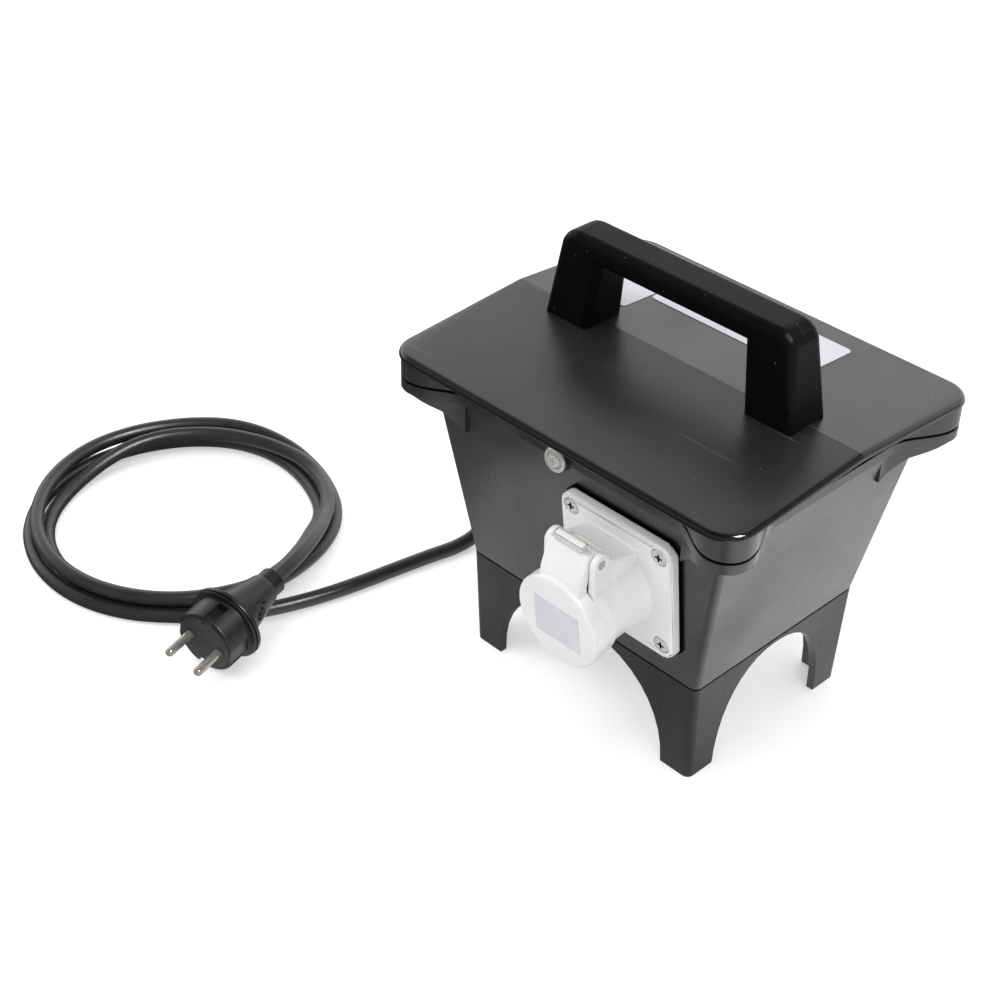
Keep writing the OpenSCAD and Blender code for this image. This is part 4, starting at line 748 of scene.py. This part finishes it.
class TRANSFORMER_OT_stage(bpy.types.Operator):
    """Lays the pale floor and hangs the soft lights"""

    bl_idname = "transformer.stage"
    bl_label = "Stage"

    def execute(self, context):
        v = context.scene.transformer_view
        context.scene.view_settings.view_transform = "Standard"
        deselect()
        bpy.ops.mesh.primitive_plane_add(size=v.floor_size)
        floor = context.object
        floor.name = "studio_floor"
        material = bpy.data.materials.new("floor_paper")
        material.use_nodes = True
        tree = material.node_tree
        shader = tree.nodes["Principled BSDF"]
        shader.inputs["Roughness"].default_value = FLOOR_ROUGH
        shader.inputs["Specular IOR Level"].default_value = FLOOR_LEVEL
        path = put(tree, "ShaderNodeLightPath")
        place = put(tree, "ShaderNodeTexCoord").outputs["Object"]
        parts = put(tree, "ShaderNodeSeparateXYZ", {"Vector": place})
        side = maths(tree, "ADD", parts.outputs["X"], parts.outputs["Y"])
        share = ranged(tree, side, PAINTED_MIRROR_FLOOR[0][0], PAINTED_MIRROR_FLOOR[-1][0])
        ramp = put(tree, "ShaderNodeValToRGB", {"Fac": share})
        fill_ramp(ramp.color_ramp, PAINTED_MIRROR_FLOOR, MIRROR_PEAK)
        # Only mirror rays see the floor's painted glow, a painted reflection.
        in_mirror = path.outputs["Is Glossy Ray"]
        glossy = scaled(tree, scaled(tree, ramp.outputs["Color"], in_mirror), MIRROR_PEAK)
        paper = mix(tree, in_mirror, grey(FLOOR_GREY), grey(FLOOR_MIRROR_GREY))
        tree.links.new(paper, shader.inputs["Base Color"])
        camera = scaled(tree, path.outputs["Is Camera Ray"], FLOOR_GLOW)
        clear = scaled(tree, path.outputs["Is Transmission Ray"], FLOOR_GLOW)
        glow = maths(tree, "ADD", maths(tree, "ADD", glossy, camera), clear)
        shader.inputs["Emission Color"].default_value = grey(1)
        tree.links.new(glow, shader.inputs["Emission Strength"])
        floor.data.materials.append(material)
        self.make_sky(context, v.sky)
        for light in SOFT_LIGHTS:
            lamp(*light).visible_glossy = False
        lamp(*SOFTBOX).visible_diffuse = False
        return {"FINISHED"}

    def make_sky(self, context, strength):
        world = context.scene.world or bpy.data.worlds.new("studio")
        context.scene.world = world
        world.use_nodes = True
        tree = world.node_tree
        tree.nodes.clear()
        path = put(tree, "ShaderNodeLightPath")
        place = put(tree, "ShaderNodeTexCoord").outputs["Generated"]
        parts = put(tree, "ShaderNodeSeparateXYZ", {"Vector": place})
        soft = {"interpolation_type": "SMOOTHSTEP"}
        height = ranged(tree, parts.outputs["Z"], *SKY_HEIGHTS, *SKY_BRIGHTNESS, **soft)
        sockets = {0: place, 1: SKY_AWAY}
        away = put(tree, "ShaderNodeVectorMath", sockets, operation="DOT_PRODUCT")
        behind = ranged(tree, away.outputs["Value"], *SKY_FALL, SKY_LEAST, **soft)
        shaded = scaled(tree, height, behind)
        sockets = {0: path.outputs["Is Glossy Ray"], 2: strength, 3: shaded}
        mirrored = put(tree, "ShaderNodeMix", sockets, data_type="FLOAT")
        sockets = {0: path.outputs["Is Camera Ray"], 2: mirrored.outputs[0], 3: 1.0}
        seen = put(tree, "ShaderNodeMix", sockets, data_type="FLOAT")
        background = put(
            tree, "ShaderNodeBackground", {"Color": (1, 1, 1, 1), "Strength": seen.outputs[0]}
        )
        out = put(tree, "ShaderNodeOutputWorld")
        tree.links.new(background.outputs[0], out.inputs["Surface"])


# Mains cord: the route's points, in millimetres, as the solids lie

GLAND_AXIS_START = (-81.1, 43.0236, 76.153)
GLAND_LEAN = 10.0794
GLAND_END = 22.0
CORD_Z = 4.3
LEAD_BENDS = 10
LEAD_LANDS = (-140.5, -4, CORD_Z)
LEAD_WAY = (-0.16, -1, 0)
LEAD_PULLS = (48, 45)
LEAD_POINTS = [
    (-143.8, -20, CORD_Z), (-148, -43, CORD_Z), (-153, -71, CORD_Z),
    (-159, -95, CORD_Z), (-169, -121, CORD_Z), (-183, -144, CORD_Z),
]
COIL_MIDDLE = (-267, -100)
COIL_R = 84.5
COIL_FROM = -42
COIL_TURNED = 994
COIL_SWELL, COIL_SWELL_AT = 2.4, 48
COIL_OUT = [
    (0, 7), (40, 7.4), (80, 7.2), (172, -1), (188, -1.6), (254, -10), (278, -10), (338, 3.2),
    (368, 2.5), (448, 2.5), (494, 4.5), (530, 3.4), (570, 3.6), (622, -1), (668, -3.6),
    (740, -2), (784, -2.2), (866, -7.5), (925, -7.5), (965, -5), (994, -5),
]
COIL_LIFT = [
    (0, 0), (256, 0), (300, 8.9), (340, 8.9), (366, 8.2), (400, 8.2), (430, 9.1), (548, 9.1),
    (608, 0), (824, 0), (884, 9.1), (950, 9.1), (968, 8.6), (994, 11.5),
]
COIL_STEPS = 72
ROUTE_STEPS = 6
CORD_SIDES = 6
PLUG_AT = Vector((-151.7, -173.6, 20.7))
PLUG_HEADING, PLUG_DIP, PLUG_ROLL = -77.5, 5.5, 76
PLUG_L = 58
END_BENDS = 7
END_RISE = 0.22
END_PULLS = (30, 34)
# The sleeve at the gland: wall at its thin end, points from groove to groove, waist's share
BOOT_WALL, BOOT_PITCH, BOOT_WAIST = 0.4, 3, 0.86


def along(rows, a):
    """The value at angle a in a list of angles and values, eased from one to the next."""
    i = max(k for k in range(len(rows) - 1) if k == 0 or a >= rows[k][0])
    (a0, v0), (a1, v1) = rows[i], rows[i + 1]
    t = (1 - math.cos(math.pi * min(1, max(0, (a - a0) / (a1 - a0))))) / 2
    return v0 + (v1 - v0) * t


def coil_at(a):
    """A point of the coil after it has turned a degrees."""
    g = math.radians(COIL_FROM - a)
    swell = COIL_SWELL * max(0, math.cos(g - math.radians(COIL_SWELL_AT))) ** 4
    r = COIL_R + along(COIL_OUT, a) + swell
    z = CORD_Z + along(COIL_LIFT, a)
    return Vector((COIL_MIDDLE[0] + r * math.cos(g), COIL_MIDDLE[1] + r * math.sin(g), z))


def bend(start, start_way, end, end_way, pulls, steps):
    """Points of one bend between two places, each with its heading and its pull."""
    first, last = start + start_way * pulls[0], end - end_way * pulls[1]
    return [
        start * (1 - t) ** 3 + first * 3 * (1 - t) ** 2 * t
        + last * 3 * (1 - t) * t * t + end * t ** 3
        for t in (i / steps for i in range(steps + 1))
    ]


def gland_axis(t):
    lean = math.radians(GLAND_LEAN)
    return Vector(GLAND_AXIS_START) + Vector((-math.cos(lean), 0, -math.sin(lean))) * t


def plug_turn():
    """Turn of the plug's own frame: Z out of its face, X across its pins."""
    return (
        Matrix.Rotation(math.radians(PLUG_HEADING), 3, "Z")
        @ Matrix.Rotation(math.radians(90 + PLUG_DIP), 3, "Y")
        @ Matrix.Rotation(math.radians(PLUG_ROLL), 3, "Z")
    )


def cord_route():
    """Points of the whole route: the lead, the coil and the end that rises to the plug."""
    start = gland_axis(GLAND_END)
    lands = Vector(LEAD_LANDS)
    way_out = (gland_axis(1) - gland_axis(0)).normalized()
    lead = bend(start, way_out, lands, Vector(LEAD_WAY).normalized(), LEAD_PULLS, LEAD_BENDS)
    lead += [Vector(p) for p in LEAD_POINTS]
    coil = [coil_at(COIL_TURNED * i / COIL_STEPS) for i in range(COIL_STEPS + 1)]
    way = coil_at(COIL_TURNED) - coil_at(COIL_TURNED - 1)
    way = way.normalized()
    way.z = END_RISE
    plug_way = plug_turn() @ Vector((0, 0, 1))
    back = PLUG_AT - plug_way * PLUG_L
    end = bend(coil[-1], way.normalized(), back, plug_way, END_PULLS, END_BENDS)
    return lead, coil, end[1:]


def rounded(points, steps):
    """A smooth run through the points."""
    out = []
    for i in range(len(points) - 1):
        b, c = points[i], points[i + 1]
        a = points[i - 1] if i else b * 2 - c
        d = points[i + 2] if i + 2 < len(points) else c * 2 - b
        for j in range(steps):
            t = j / steps
            out.append(
                (b * 2 + (c - a) * t + (a * 2 - b * 5 + c * 4 - d) * t * t
                 + (b * 3 - a - c * 3 + d) * t * t * t) / 2
            )
    return out + [points[-1]]


class TRANSFORMER_OT_cord(bpy.types.Operator):
    """Lays the mains cord from the gland through its coil to the plug"""

    bl_idname = "transformer.cord"
    bl_label = "Mains cord"

    def execute(self, context):
        size = context.scene.transformer_cord
        lead, coil, end = cord_route()
        knots = [p * MM for p in lead + coil + end]
        route = rounded(knots, ROUTE_STEPS)
        deselect()
        bpy.ops.curve.primitive_bezier_curve_add()
        cord = context.object
        cord.name = "mains_cord"
        cord.matrix_world = Matrix.Identity(4)
        cord.data.splines.clear()
        spline = cord.data.splines.new("BEZIER")
        spline.bezier_points.add(len(knots) - 1)
        for i, (point, place) in enumerate(zip(spline.bezier_points, knots)):
            before, after = knots[max(i - 1, 0)], knots[min(i + 1, len(knots) - 1)]
            point.co = place
            point.handle_left_type = point.handle_right_type = "FREE"
            pull = (after - before) / 6
            point.handle_left, point.handle_right = place - pull, place + pull
        spline.resolution_u = ROUTE_STEPS
        cord.data.dimensions = "3D"
        cord.data.bevel_depth = size.diameter / 2
        cord.data.bevel_resolution = CORD_SIDES
        cord.data.use_fill_caps = True
        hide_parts("cord_lead", "cord_coil", "cord_end")
        dress(cord, finish("cord"))
        boot = self.make_boot(size, route)
        return {"FINISHED"}

    def make_boot(self, size, route):
        """A tapered ribbed sleeve round the cord's first stretch."""
        deselect()
        bpy.ops.curve.primitive_nurbs_path_add()
        boot = bpy.context.object
        boot.name = "cord_boot"
        boot.matrix_world = Matrix.Identity(4)
        boot.data.splines.clear()
        stretch, run = [route[0]], 0.0
        for a, b in zip(route, route[1:]):
            run += (b - a).length
            stretch.append(b)
            if run > size.boot_length:
                break
        dense = rounded(stretch, 2)
        spline = boot.data.splines.new("POLY")
        spline.points.add(len(dense) - 1)
        wide, thin = size.boot_width / 2, size.diameter / 2 + BOOT_WALL * MM
        for k, (point, place) in enumerate(zip(spline.points, dense)):
            share = k / (len(dense) - 1)
            point.co = (*place, 1)
            grooved = k % BOOT_PITCH == BOOT_PITCH - 1 and k < len(dense) - 1
            waist = BOOT_WAIST if grooved else 1.0
            point.radius = (wide + (thin - wide) * share) * waist / wide
        boot.data.dimensions = "3D"
        boot.data.bevel_depth = wide
        boot.data.bevel_resolution = CORD_SIDES
        boot.data.use_fill_caps = True
        only(boot)
        bpy.ops.object.convert(target="MESH")
        boot = bpy.context.object
        smooth(boot, 50)
        return dress(boot, finish("gland"))


PATCH_PLACE = (
    Matrix.Rotation(math.radians(27), 4, "Z")
    @ Matrix.Translation(mm(12.25, 0, -34.5))
    @ Matrix.Rotation(math.radians(90 - 12.6), 4, "Y")
    @ Matrix.Rotation(math.radians(90), 4, "Z")
)
# The plug's small forms, in millimetres: profiles are pairs of radius and height
SEAT_TURN, ROW_TURN = 25, 48
SEAT_HALF, SEAT_TALL, SEAT_SUNK = (4.6, 6.6), 6, -0.7
DOT_R, DOT_TALL, DOT_SUNK = 0.8, 0.2, -0.8
DOT_PLACES = (-3.4, 0, 3.4)
COLLAR_GROOVE = [(20.4, -17.6), (23, -17.6), (23, -16.9), (20.4, -16.9)]
FACE_RING = [(2.1, -0.1), (2.2, 0.12), (2.45, 0.12), (2.55, -0.1)]
PIN_COLLAR = [(2.45, -0.1), (3.2, -0.1), (3.2, 0.25), (2.95, 0.5), (2.45, 0.5)]
RING_PLACES = [(-4.2, 4.6), (4.2, 4.6), (-4.2, -4.6), (4.2, -4.6), (0, 0)]
PIN_PLACES = [(-9.5, 0), (9.5, 0)]


def plug_frame():
    return Matrix.Translation(PLUG_AT * MM) @ plug_turn().to_4x4()


def turned(name, profile, place, steps=40):
    """A ring turned about its Z axis from a closed profile of radius and height."""
    deselect()
    bpy.ops.mesh.primitive_circle_add(vertices=3, radius=MM)
    piece = bpy.context.object
    piece.name = name
    only(piece)
    bpy.ops.object.mode_set(mode="EDIT")
    bpy.ops.mesh.select_all(action="SELECT")
    bpy.ops.mesh.delete(type="VERT")
    chain = bmesh.from_edit_mesh(piece.data)
    points = [chain.verts.new(mm(r, 0, z)) for r, z in profile]
    for a, b in zip(points, points[1:] + points[:1]):
        chain.edges.new((a, b))
    bmesh.update_edit_mesh(piece.data)
    bpy.ops.mesh.select_all(action="SELECT")
    bpy.ops.mesh.spin(steps=steps, angle=math.tau, center=(0, 0, 0), axis=(0, 0, 1))
    bpy.ops.mesh.select_all(action="SELECT")
    bpy.ops.mesh.remove_doubles(threshold=1e-6)
    bpy.ops.mesh.normals_make_consistent(inside=False)
    bpy.ops.object.mode_set(mode="OBJECT")
    piece.matrix_world = place
    settle(piece)
    smooth(piece)
    return piece


def oval(name, half_x, half_y, height, place):
    """An oval plate that rises from its place."""
    deselect()
    bpy.ops.mesh.primitive_cylinder_add(vertices=32, radius=MM, depth=height * MM)
    piece = bpy.context.object
    piece.name = name
    piece.matrix_world = (
        place
        @ Matrix.Translation(mm(0, 0, height / 2))
        @ Matrix.Diagonal((half_x, half_y, 1, 1))
    )
    return settle(piece)


def block(place, size):
    """A block of a size in millimetres about its place."""
    deselect()
    bpy.ops.mesh.primitive_cube_add(size=MM)
    piece = bpy.context.object
    piece.matrix_world = place @ Matrix.Diagonal((*size, 1))
    return settle(piece)


def cut(piece, tool):
    """Takes the tool's volume out of the piece."""
    modify(piece, "BOOLEAN", object=tool, operation="DIFFERENCE", solver="EXACT")
    bpy.data.objects.remove(tool)


class TRANSFORMER_OT_plug(bpy.types.Operator):
    """Finishes the plug's rubber body, its face and its pins"""

    bl_idname = "transformer.plug"
    bl_label = "Plug"

    def execute(self, context):
        body = from_node("plug_moulding", "plug_body", 0.4, 2, merge=0, shape=self.cut_body)
        dress(body, finish("plug"))
        # The grip's dots are painted shade.
        dress(self.make_dots(), finish("hole"))
        dress(self.make_relief(), finish("plug_face"))
        paint(["plug_face"], "plug_face")
        paint(["plug_pins"], "nickel")
        return {"FINISHED"}

    def cut_body(self, body):
        """Cuts the collar's groove and the grip's oval seat."""
        frame = plug_frame()
        cut(body, turned("groove", COLLAR_GROOVE, frame))
        lean = Matrix.Rotation(math.radians(SEAT_TURN), 4, "Z")
        place = frame @ PATCH_PLACE @ lean @ Matrix.Translation(mm(0, 0, SEAT_SUNK))
        cut(body, oval("seat", *SEAT_HALF, SEAT_TALL, place))

    def make_dots(self):
        """Three small discs in a row in the oval seat, painted near black as the shade of holes."""
        row = plug_frame() @ PATCH_PLACE @ Matrix.Rotation(math.radians(ROW_TURN), 4, "Z")
        places = [row @ Matrix.Translation(mm(0, y, DOT_SUNK)) for y in DOT_PLACES]
        dots = [oval(f"dot_{i}", DOT_R, DOT_R, DOT_TALL, m) for i, m in enumerate(places)]
        return joined("grip_dots", dots)

    def make_relief(self):
        """The face's moulded rings and the collars round its pins."""
        frame = plug_frame()
        parts = []
        for name, profile, places in (
            ("ring", FACE_RING, RING_PLACES), ("collar", PIN_COLLAR, PIN_PLACES)
        ):
            for i, (x, y) in enumerate(places):
                place = frame @ Matrix.Translation(mm(x, y, 0))
                parts.append(turned(f"{name}_{i}", profile, place))
        return joined("plug_face_relief", parts)


class TRANSFORMER_OT_lid(bpy.types.Operator):
    """Finishes the lid, its gasket, its labels and its fastenings"""

    bl_idname = "transformer.lid"
    bl_label = "Lid"

    def execute(self, context):
        size = context.scene.transformer_edges
        dress(from_node("lid_shell", "lid_cover", size.lid, 2), finish("lid"))
        dress(from_node("handle_grip", "handle", size.handle, 2), finish("handle"))
        paint(["lid_gasket"], "gasket")
        for name, node in (("tall_sticker", "tall_label"), ("long_sticker", "long_label")):
            dress(from_node(name, node, 0.1, 1), finish("label"))
        dress(from_node("lid_screw_heads", "lid_screws", size.small, 1), finish("steel"))
        dress(from_node("lid_screw_cup_rings", "lid_screw_cups", size.small, 1), finish("cup"))
        paint(["lid_inserts"], "brass")
        paint(["handle_screws"], "steel")
        return {"FINISHED"}


class TRANSFORMER_OT_case(bpy.types.Operator):
    """Finishes the tub and the leg frame under it"""

    bl_idname = "transformer.case"
    bl_label = "Case"

    def execute(self, context):
        size = context.scene.transformer_edges
        dress(from_node("tub_shell", "tub", size.tub, 2, merge=0), finish("tub"))
        dress(from_node("leg_frame_shell", "leg_frame", size.legs, 2, merge=0.4), finish("legs"))
        paint(["leg_frame_screws"], "steel")
        return {"FINISHED"}


# The socket's own frame, in millimetres and degrees
SOCKET_AT, SOCKET_UP, SOCKET_LEAN = (34.4, CASE_Y - 62, 60.4), (0, 54.6, 0.01), 7.3126
FLANGE_FACE, FLANGE_OUT, FLANGE_EDGE = 7.1, 33, 3
FOOT_ANGLE, CORNER_ANGLE = math.radians(15), math.radians(25)
NEAR = 0.05
FLANGE_SCREW = 28
FLANGE_CORNER_ROUND, FOOT_ROUND, ROUND_STEPS = 1.6, 1.6, 4
FOOT_HALF = (27, 27.5)
FOOT_CORNER = 21
SCREW_TOP, RECESS_R, RECESS_FROM, RECESS_DEPTH = 7.4, 2.9, 0.55, 2.2
BARREL_AT = (-0.8, -2.8, 19.4)
BARREL_RING, BARREL_STEPS = [(22.6, -0.3), (22.95, 0), (22.6, 0.3)], 72
# The spring: two flat leaves and a short coil between them
LEAF_SIZE, LEAF_LEAN, LEAF_ROUND = (8.2, 0.8, 6.6), -14, 0.2
LEAF_PLACES = ((-8.9, 28.2, 23.2), (1.4, 28.2, 23.2))
COIL_TURN = [(1.0, -0.3), (1.35, -0.3), (1.5, 0), (1.35, 0.3), (1.0, 0.3)]
COIL_TURNS, COIL_PITCH, COIL_AT, COIL_SIDES = 4, 0.75, (-4.9, 28.9, 23.4), 24
# The finger ledge's grooves: size of the cut, and places up the ledge's sloping front
GROOVE_SIZE = (24, 0.36, 0.8)
GROOVE_UPS, GROOVE_OUT, GROOVE_SLOPE = (39.9, 41.0, 42.1), 37.3, -0.28


def socket_frame():
    """The socket's own frame: X along the wall, Y up it, Z out of it."""
    return (
        Matrix.Translation(mm(*SOCKET_AT))
        @ Matrix.Rotation(math.radians(90 + SOCKET_LEAN), 4, "X")
        @ Matrix.Translation(mm(*SOCKET_UP))
    )


def darken(piece, pick):
    """Gives the faces that pick chooses a near-black finish, painted shade of a deep hole."""
    piece.data.materials.append(finish("hole"))
    for face in piece.data.polygons:
        if pick(face):
            face.material_index = 1


def round_edges(piece, pick, width, segments):
    """Rounds the edges that pick chooses."""

    def change(mesh):
        chosen = pick(mesh)
        bmesh.ops.bevel(
            mesh, geom=chosen, offset=width * MM, segments=segments, profile=0.5,
            affect="EDGES", clamp_overlap=True,
        )

    edit(piece, change)


class TRANSFORMER_OT_socket(bpy.types.Operator):
    """Finishes the socket, its contacts and its screws"""

    bl_idname = "transformer.socket"
    bl_label = "Socket"

    def execute(self, context):
        size = context.scene.transformer_edges
        body = from_node(
            "socket_moulding", "socket_body", size.socket, 2, merge=0, shape=self.fillet
        )
        dress(body, finish("socket"))
        dress(self.make_ring(), finish("socket"))
        dress(self.make_leaves(), finish("leaf"))
        paint(["socket_gasket"], "gasket")
        paint(["contact_carrier"], "carrier")
        paint(["contact_sleeves"], "brass")
        heads = from_node("socket_screw_heads", "socket_screws", size.small, 1)
        dress(heads, finish("steel"))
        # The cross recesses get painted shade.
        darken(heads, self.in_recess)
        paint(["flap_pin"], "pin")
        paint(["flap_spring"], "spring")
        return {"FINISHED"}

    def fillet(self, body):
        """Rounds the flange's corners and where the barrel and roof meet the flange."""
        back = socket_frame().inverted()

        def foot_edges(mesh):
            chosen = []
            for e in mesh.edges:
                a, b = (back @ v.co / MM for v in e.verts)
                flat = max(abs(a.z - FLANGE_FACE), abs(b.z - FLANGE_FACE)) < NEAR
                out_x, out_y = max(abs(a.x), abs(b.x)), max(abs(a.y), abs(b.y))
                near = out_x < FOOT_HALF[0] and out_y < FOOT_HALF[1]
                in_x, in_y = min(abs(a.x), abs(b.x)), min(abs(a.y), abs(b.y))
                corner = in_x > FOOT_CORNER and in_y > FOOT_CORNER
                if flat and near and not corner and e.calc_face_angle(0) > FOOT_ANGLE:
                    chosen.append(e)
            return chosen

        def corner_edges(mesh):
            chosen = []
            for e in mesh.edges:
                a, b = (back @ v.co / MM for v in e.verts)
                upright = (a - b).xy.length < NEAR and abs(a.z - b.z) > FLANGE_EDGE
                outer = max(abs(a.x), abs(a.y)) > FLANGE_OUT and min(a.z, b.z) > 1
                if upright and outer and e.calc_face_angle(0) > CORNER_ANGLE:
                    chosen.append(e)
            return chosen

        round_edges(body, corner_edges, FLANGE_CORNER_ROUND, ROUND_STEPS)
        round_edges(body, foot_edges, FOOT_ROUND, ROUND_STEPS)

    def in_recess(self, face):
        """Tells the faces of the screws' cross recesses."""
        back = socket_frame().inverted()
        at, way = back @ face.center / MM, back.to_3x3() @ face.normal
        from_axis = math.hypot(abs(at.x) - FLANGE_SCREW, abs(at.y) - FLANGE_SCREW)
        sunk = at.z < SCREW_TOP - RECESS_FROM or abs(way.z) < 0.5
        return from_axis < RECESS_R and at.z > SCREW_TOP - RECESS_DEPTH and sunk

    def make_ring(self):
        """A faint witness ring round the barrel."""
        place = socket_frame() @ Matrix.Translation(mm(*BARREL_AT))
        return turned("barrel_ring", BARREL_RING, place, BARREL_STEPS)

    def make_leaves(self):
        """The spring's two leaves and its coil, seen through the slot in the roof."""
        parts = []
        lean = Matrix.Rotation(math.radians(LEAF_LEAN), 4, "X")
        for at in LEAF_PLACES:
            leaf = block(socket_frame() @ Matrix.Translation(mm(*at)) @ lean, LEAF_SIZE)
            soften(leaf, LEAF_ROUND, 2)
            parts.append(leaf)
        x, y, z = COIL_AT
        for i in range(COIL_TURNS):
            place = (
                socket_frame()
                @ Matrix.Translation(mm(x + COIL_PITCH * i, y, z))
                @ Matrix.Rotation(math.radians(90), 4, "Y")
            )
            parts.append(turned(f"coil_{i}", COIL_TURN, place, COIL_SIDES))
        return joined("spring_leaves", parts)


class TRANSFORMER_OT_flap(bpy.types.Operator):
    """Finishes the hinged flap, its seal and its bare panel"""

    bl_idname = "transformer.flap"
    bl_label = "Flap"

    def execute(self, context):
        size = context.scene.transformer_edges
        body = from_node("flap_moulding", "flap", size.socket, 2)
        self.cut_grooves(body)
        dress(body, finish("flap"), "flap")
        paint(["flap_seal"], "seal")
        paint(["flap_panel"], "panel")
        return {"FINISHED"}

    def cut_grooves(self, body):
        """Three fine grooves along the finger ledge's front."""
        for i, up in enumerate(GROOVE_UPS):
            place = Matrix.Translation(mm(0, up, GROOVE_OUT + GROOVE_SLOPE * i))
            cut(body, block(socket_frame() @ place, GROOVE_SIZE))
        weigh(body)


class TRANSFORMER_OT_gland(bpy.types.Operator):
    """Finishes the cord gland"""

    bl_idname = "transformer.gland"
    bl_label = "Gland"

    def execute(self, context):
        small = context.scene.transformer_edges.small
        dress(from_node("gland_dome_nut", "gland_dome", small, 2), finish("gland"))
        paint(["gland_body", "gland_locknut", "cord_clamp"], "gland")
        paint(["gland_seal"], "gasket")
        paint(["cord_tail"], "cord")
        return {"FINISHED"}


class TRANSFORMER_OT_inside(bpy.types.Operator):
    """Finishes the transformer and the wiring inside the case"""

    bl_idname = "transformer.inside"
    bl_label = "Inside"

    def execute(self, context):
        for finish_name, nodes in (
            ("sheets", ["core_laminations"]),
            ("bobbin", ["bobbin"]),
            ("wire", ["primary_winding", "secondary_winding"]),
            ("tape", ["winding_wrap"]),
            ("zinc", ["core_brackets", "base_plate"]),
            ("steel", ["core_bolts", "base_screws", "terminal_screws", "clamp_screws"]),
            ("block", ["terminal_block"]),
            ("cutout", ["thermal_cutout"]),
            ("brown", ["primary_leads"]),
            ("blue", ["secondary_leads"]),
        ):
            paint(nodes, finish_name)
        return {"FINISHED"}


OPERATORS = (
    TRANSFORMER_OT_camera,
    TRANSFORMER_OT_plug,
    TRANSFORMER_OT_cord,
    TRANSFORMER_OT_stage,
    TRANSFORMER_OT_lid,
    TRANSFORMER_OT_case,
    TRANSFORMER_OT_socket,
    TRANSFORMER_OT_flap,
    TRANSFORMER_OT_gland,
    TRANSFORMER_OT_inside,
)
GROUPS_OF_SIZES = (
    ("transformer_view", TransformerView),
    ("transformer_cord", TransformerCord),
    ("transformer_edges", TransformerEdges),
)


class TRANSFORMER_PT_panel(bpy.types.Panel):
    """Lists the transformer's sizes and steps"""

    bl_idname = "TRANSFORMER_PT_panel"
    bl_label = "Transformer"
    bl_space_type = "VIEW_3D"
    bl_region_type = "UI"
    bl_category = "Transformer"

    def draw(self, context):
        for name, group in GROUPS_OF_SIZES:
            box = self.layout.box()
            for prop in group.__annotations__:
                box.prop(getattr(context.scene, name), prop)
        for op in OPERATORS:
            self.layout.operator(op.bl_idname)


def register():
    for name, group in GROUPS_OF_SIZES:
        bpy.utils.register_class(group)
        setattr(bpy.types.Scene, name, bpy.props.PointerProperty(type=group))
    for op in OPERATORS:
        bpy.utils.register_class(op)
    bpy.utils.register_class(TRANSFORMER_PT_panel)


def unregister():
    bpy.utils.unregister_class(TRANSFORMER_PT_panel)
    for op in reversed(OPERATORS):
        bpy.utils.unregister_class(op)
    for name, group in reversed(GROUPS_OF_SIZES):
        delattr(bpy.types.Scene, name)
        bpy.utils.unregister_class(group)


def main():
    register()
    for op in OPERATORS:
        family, name = op.bl_idname.split(".")
        if getattr(getattr(bpy.ops, family), name)() != {"FINISHED"}:
            raise RuntimeError(f"{op.bl_label} did not finish")


if __name__ == "__main__":
    main()
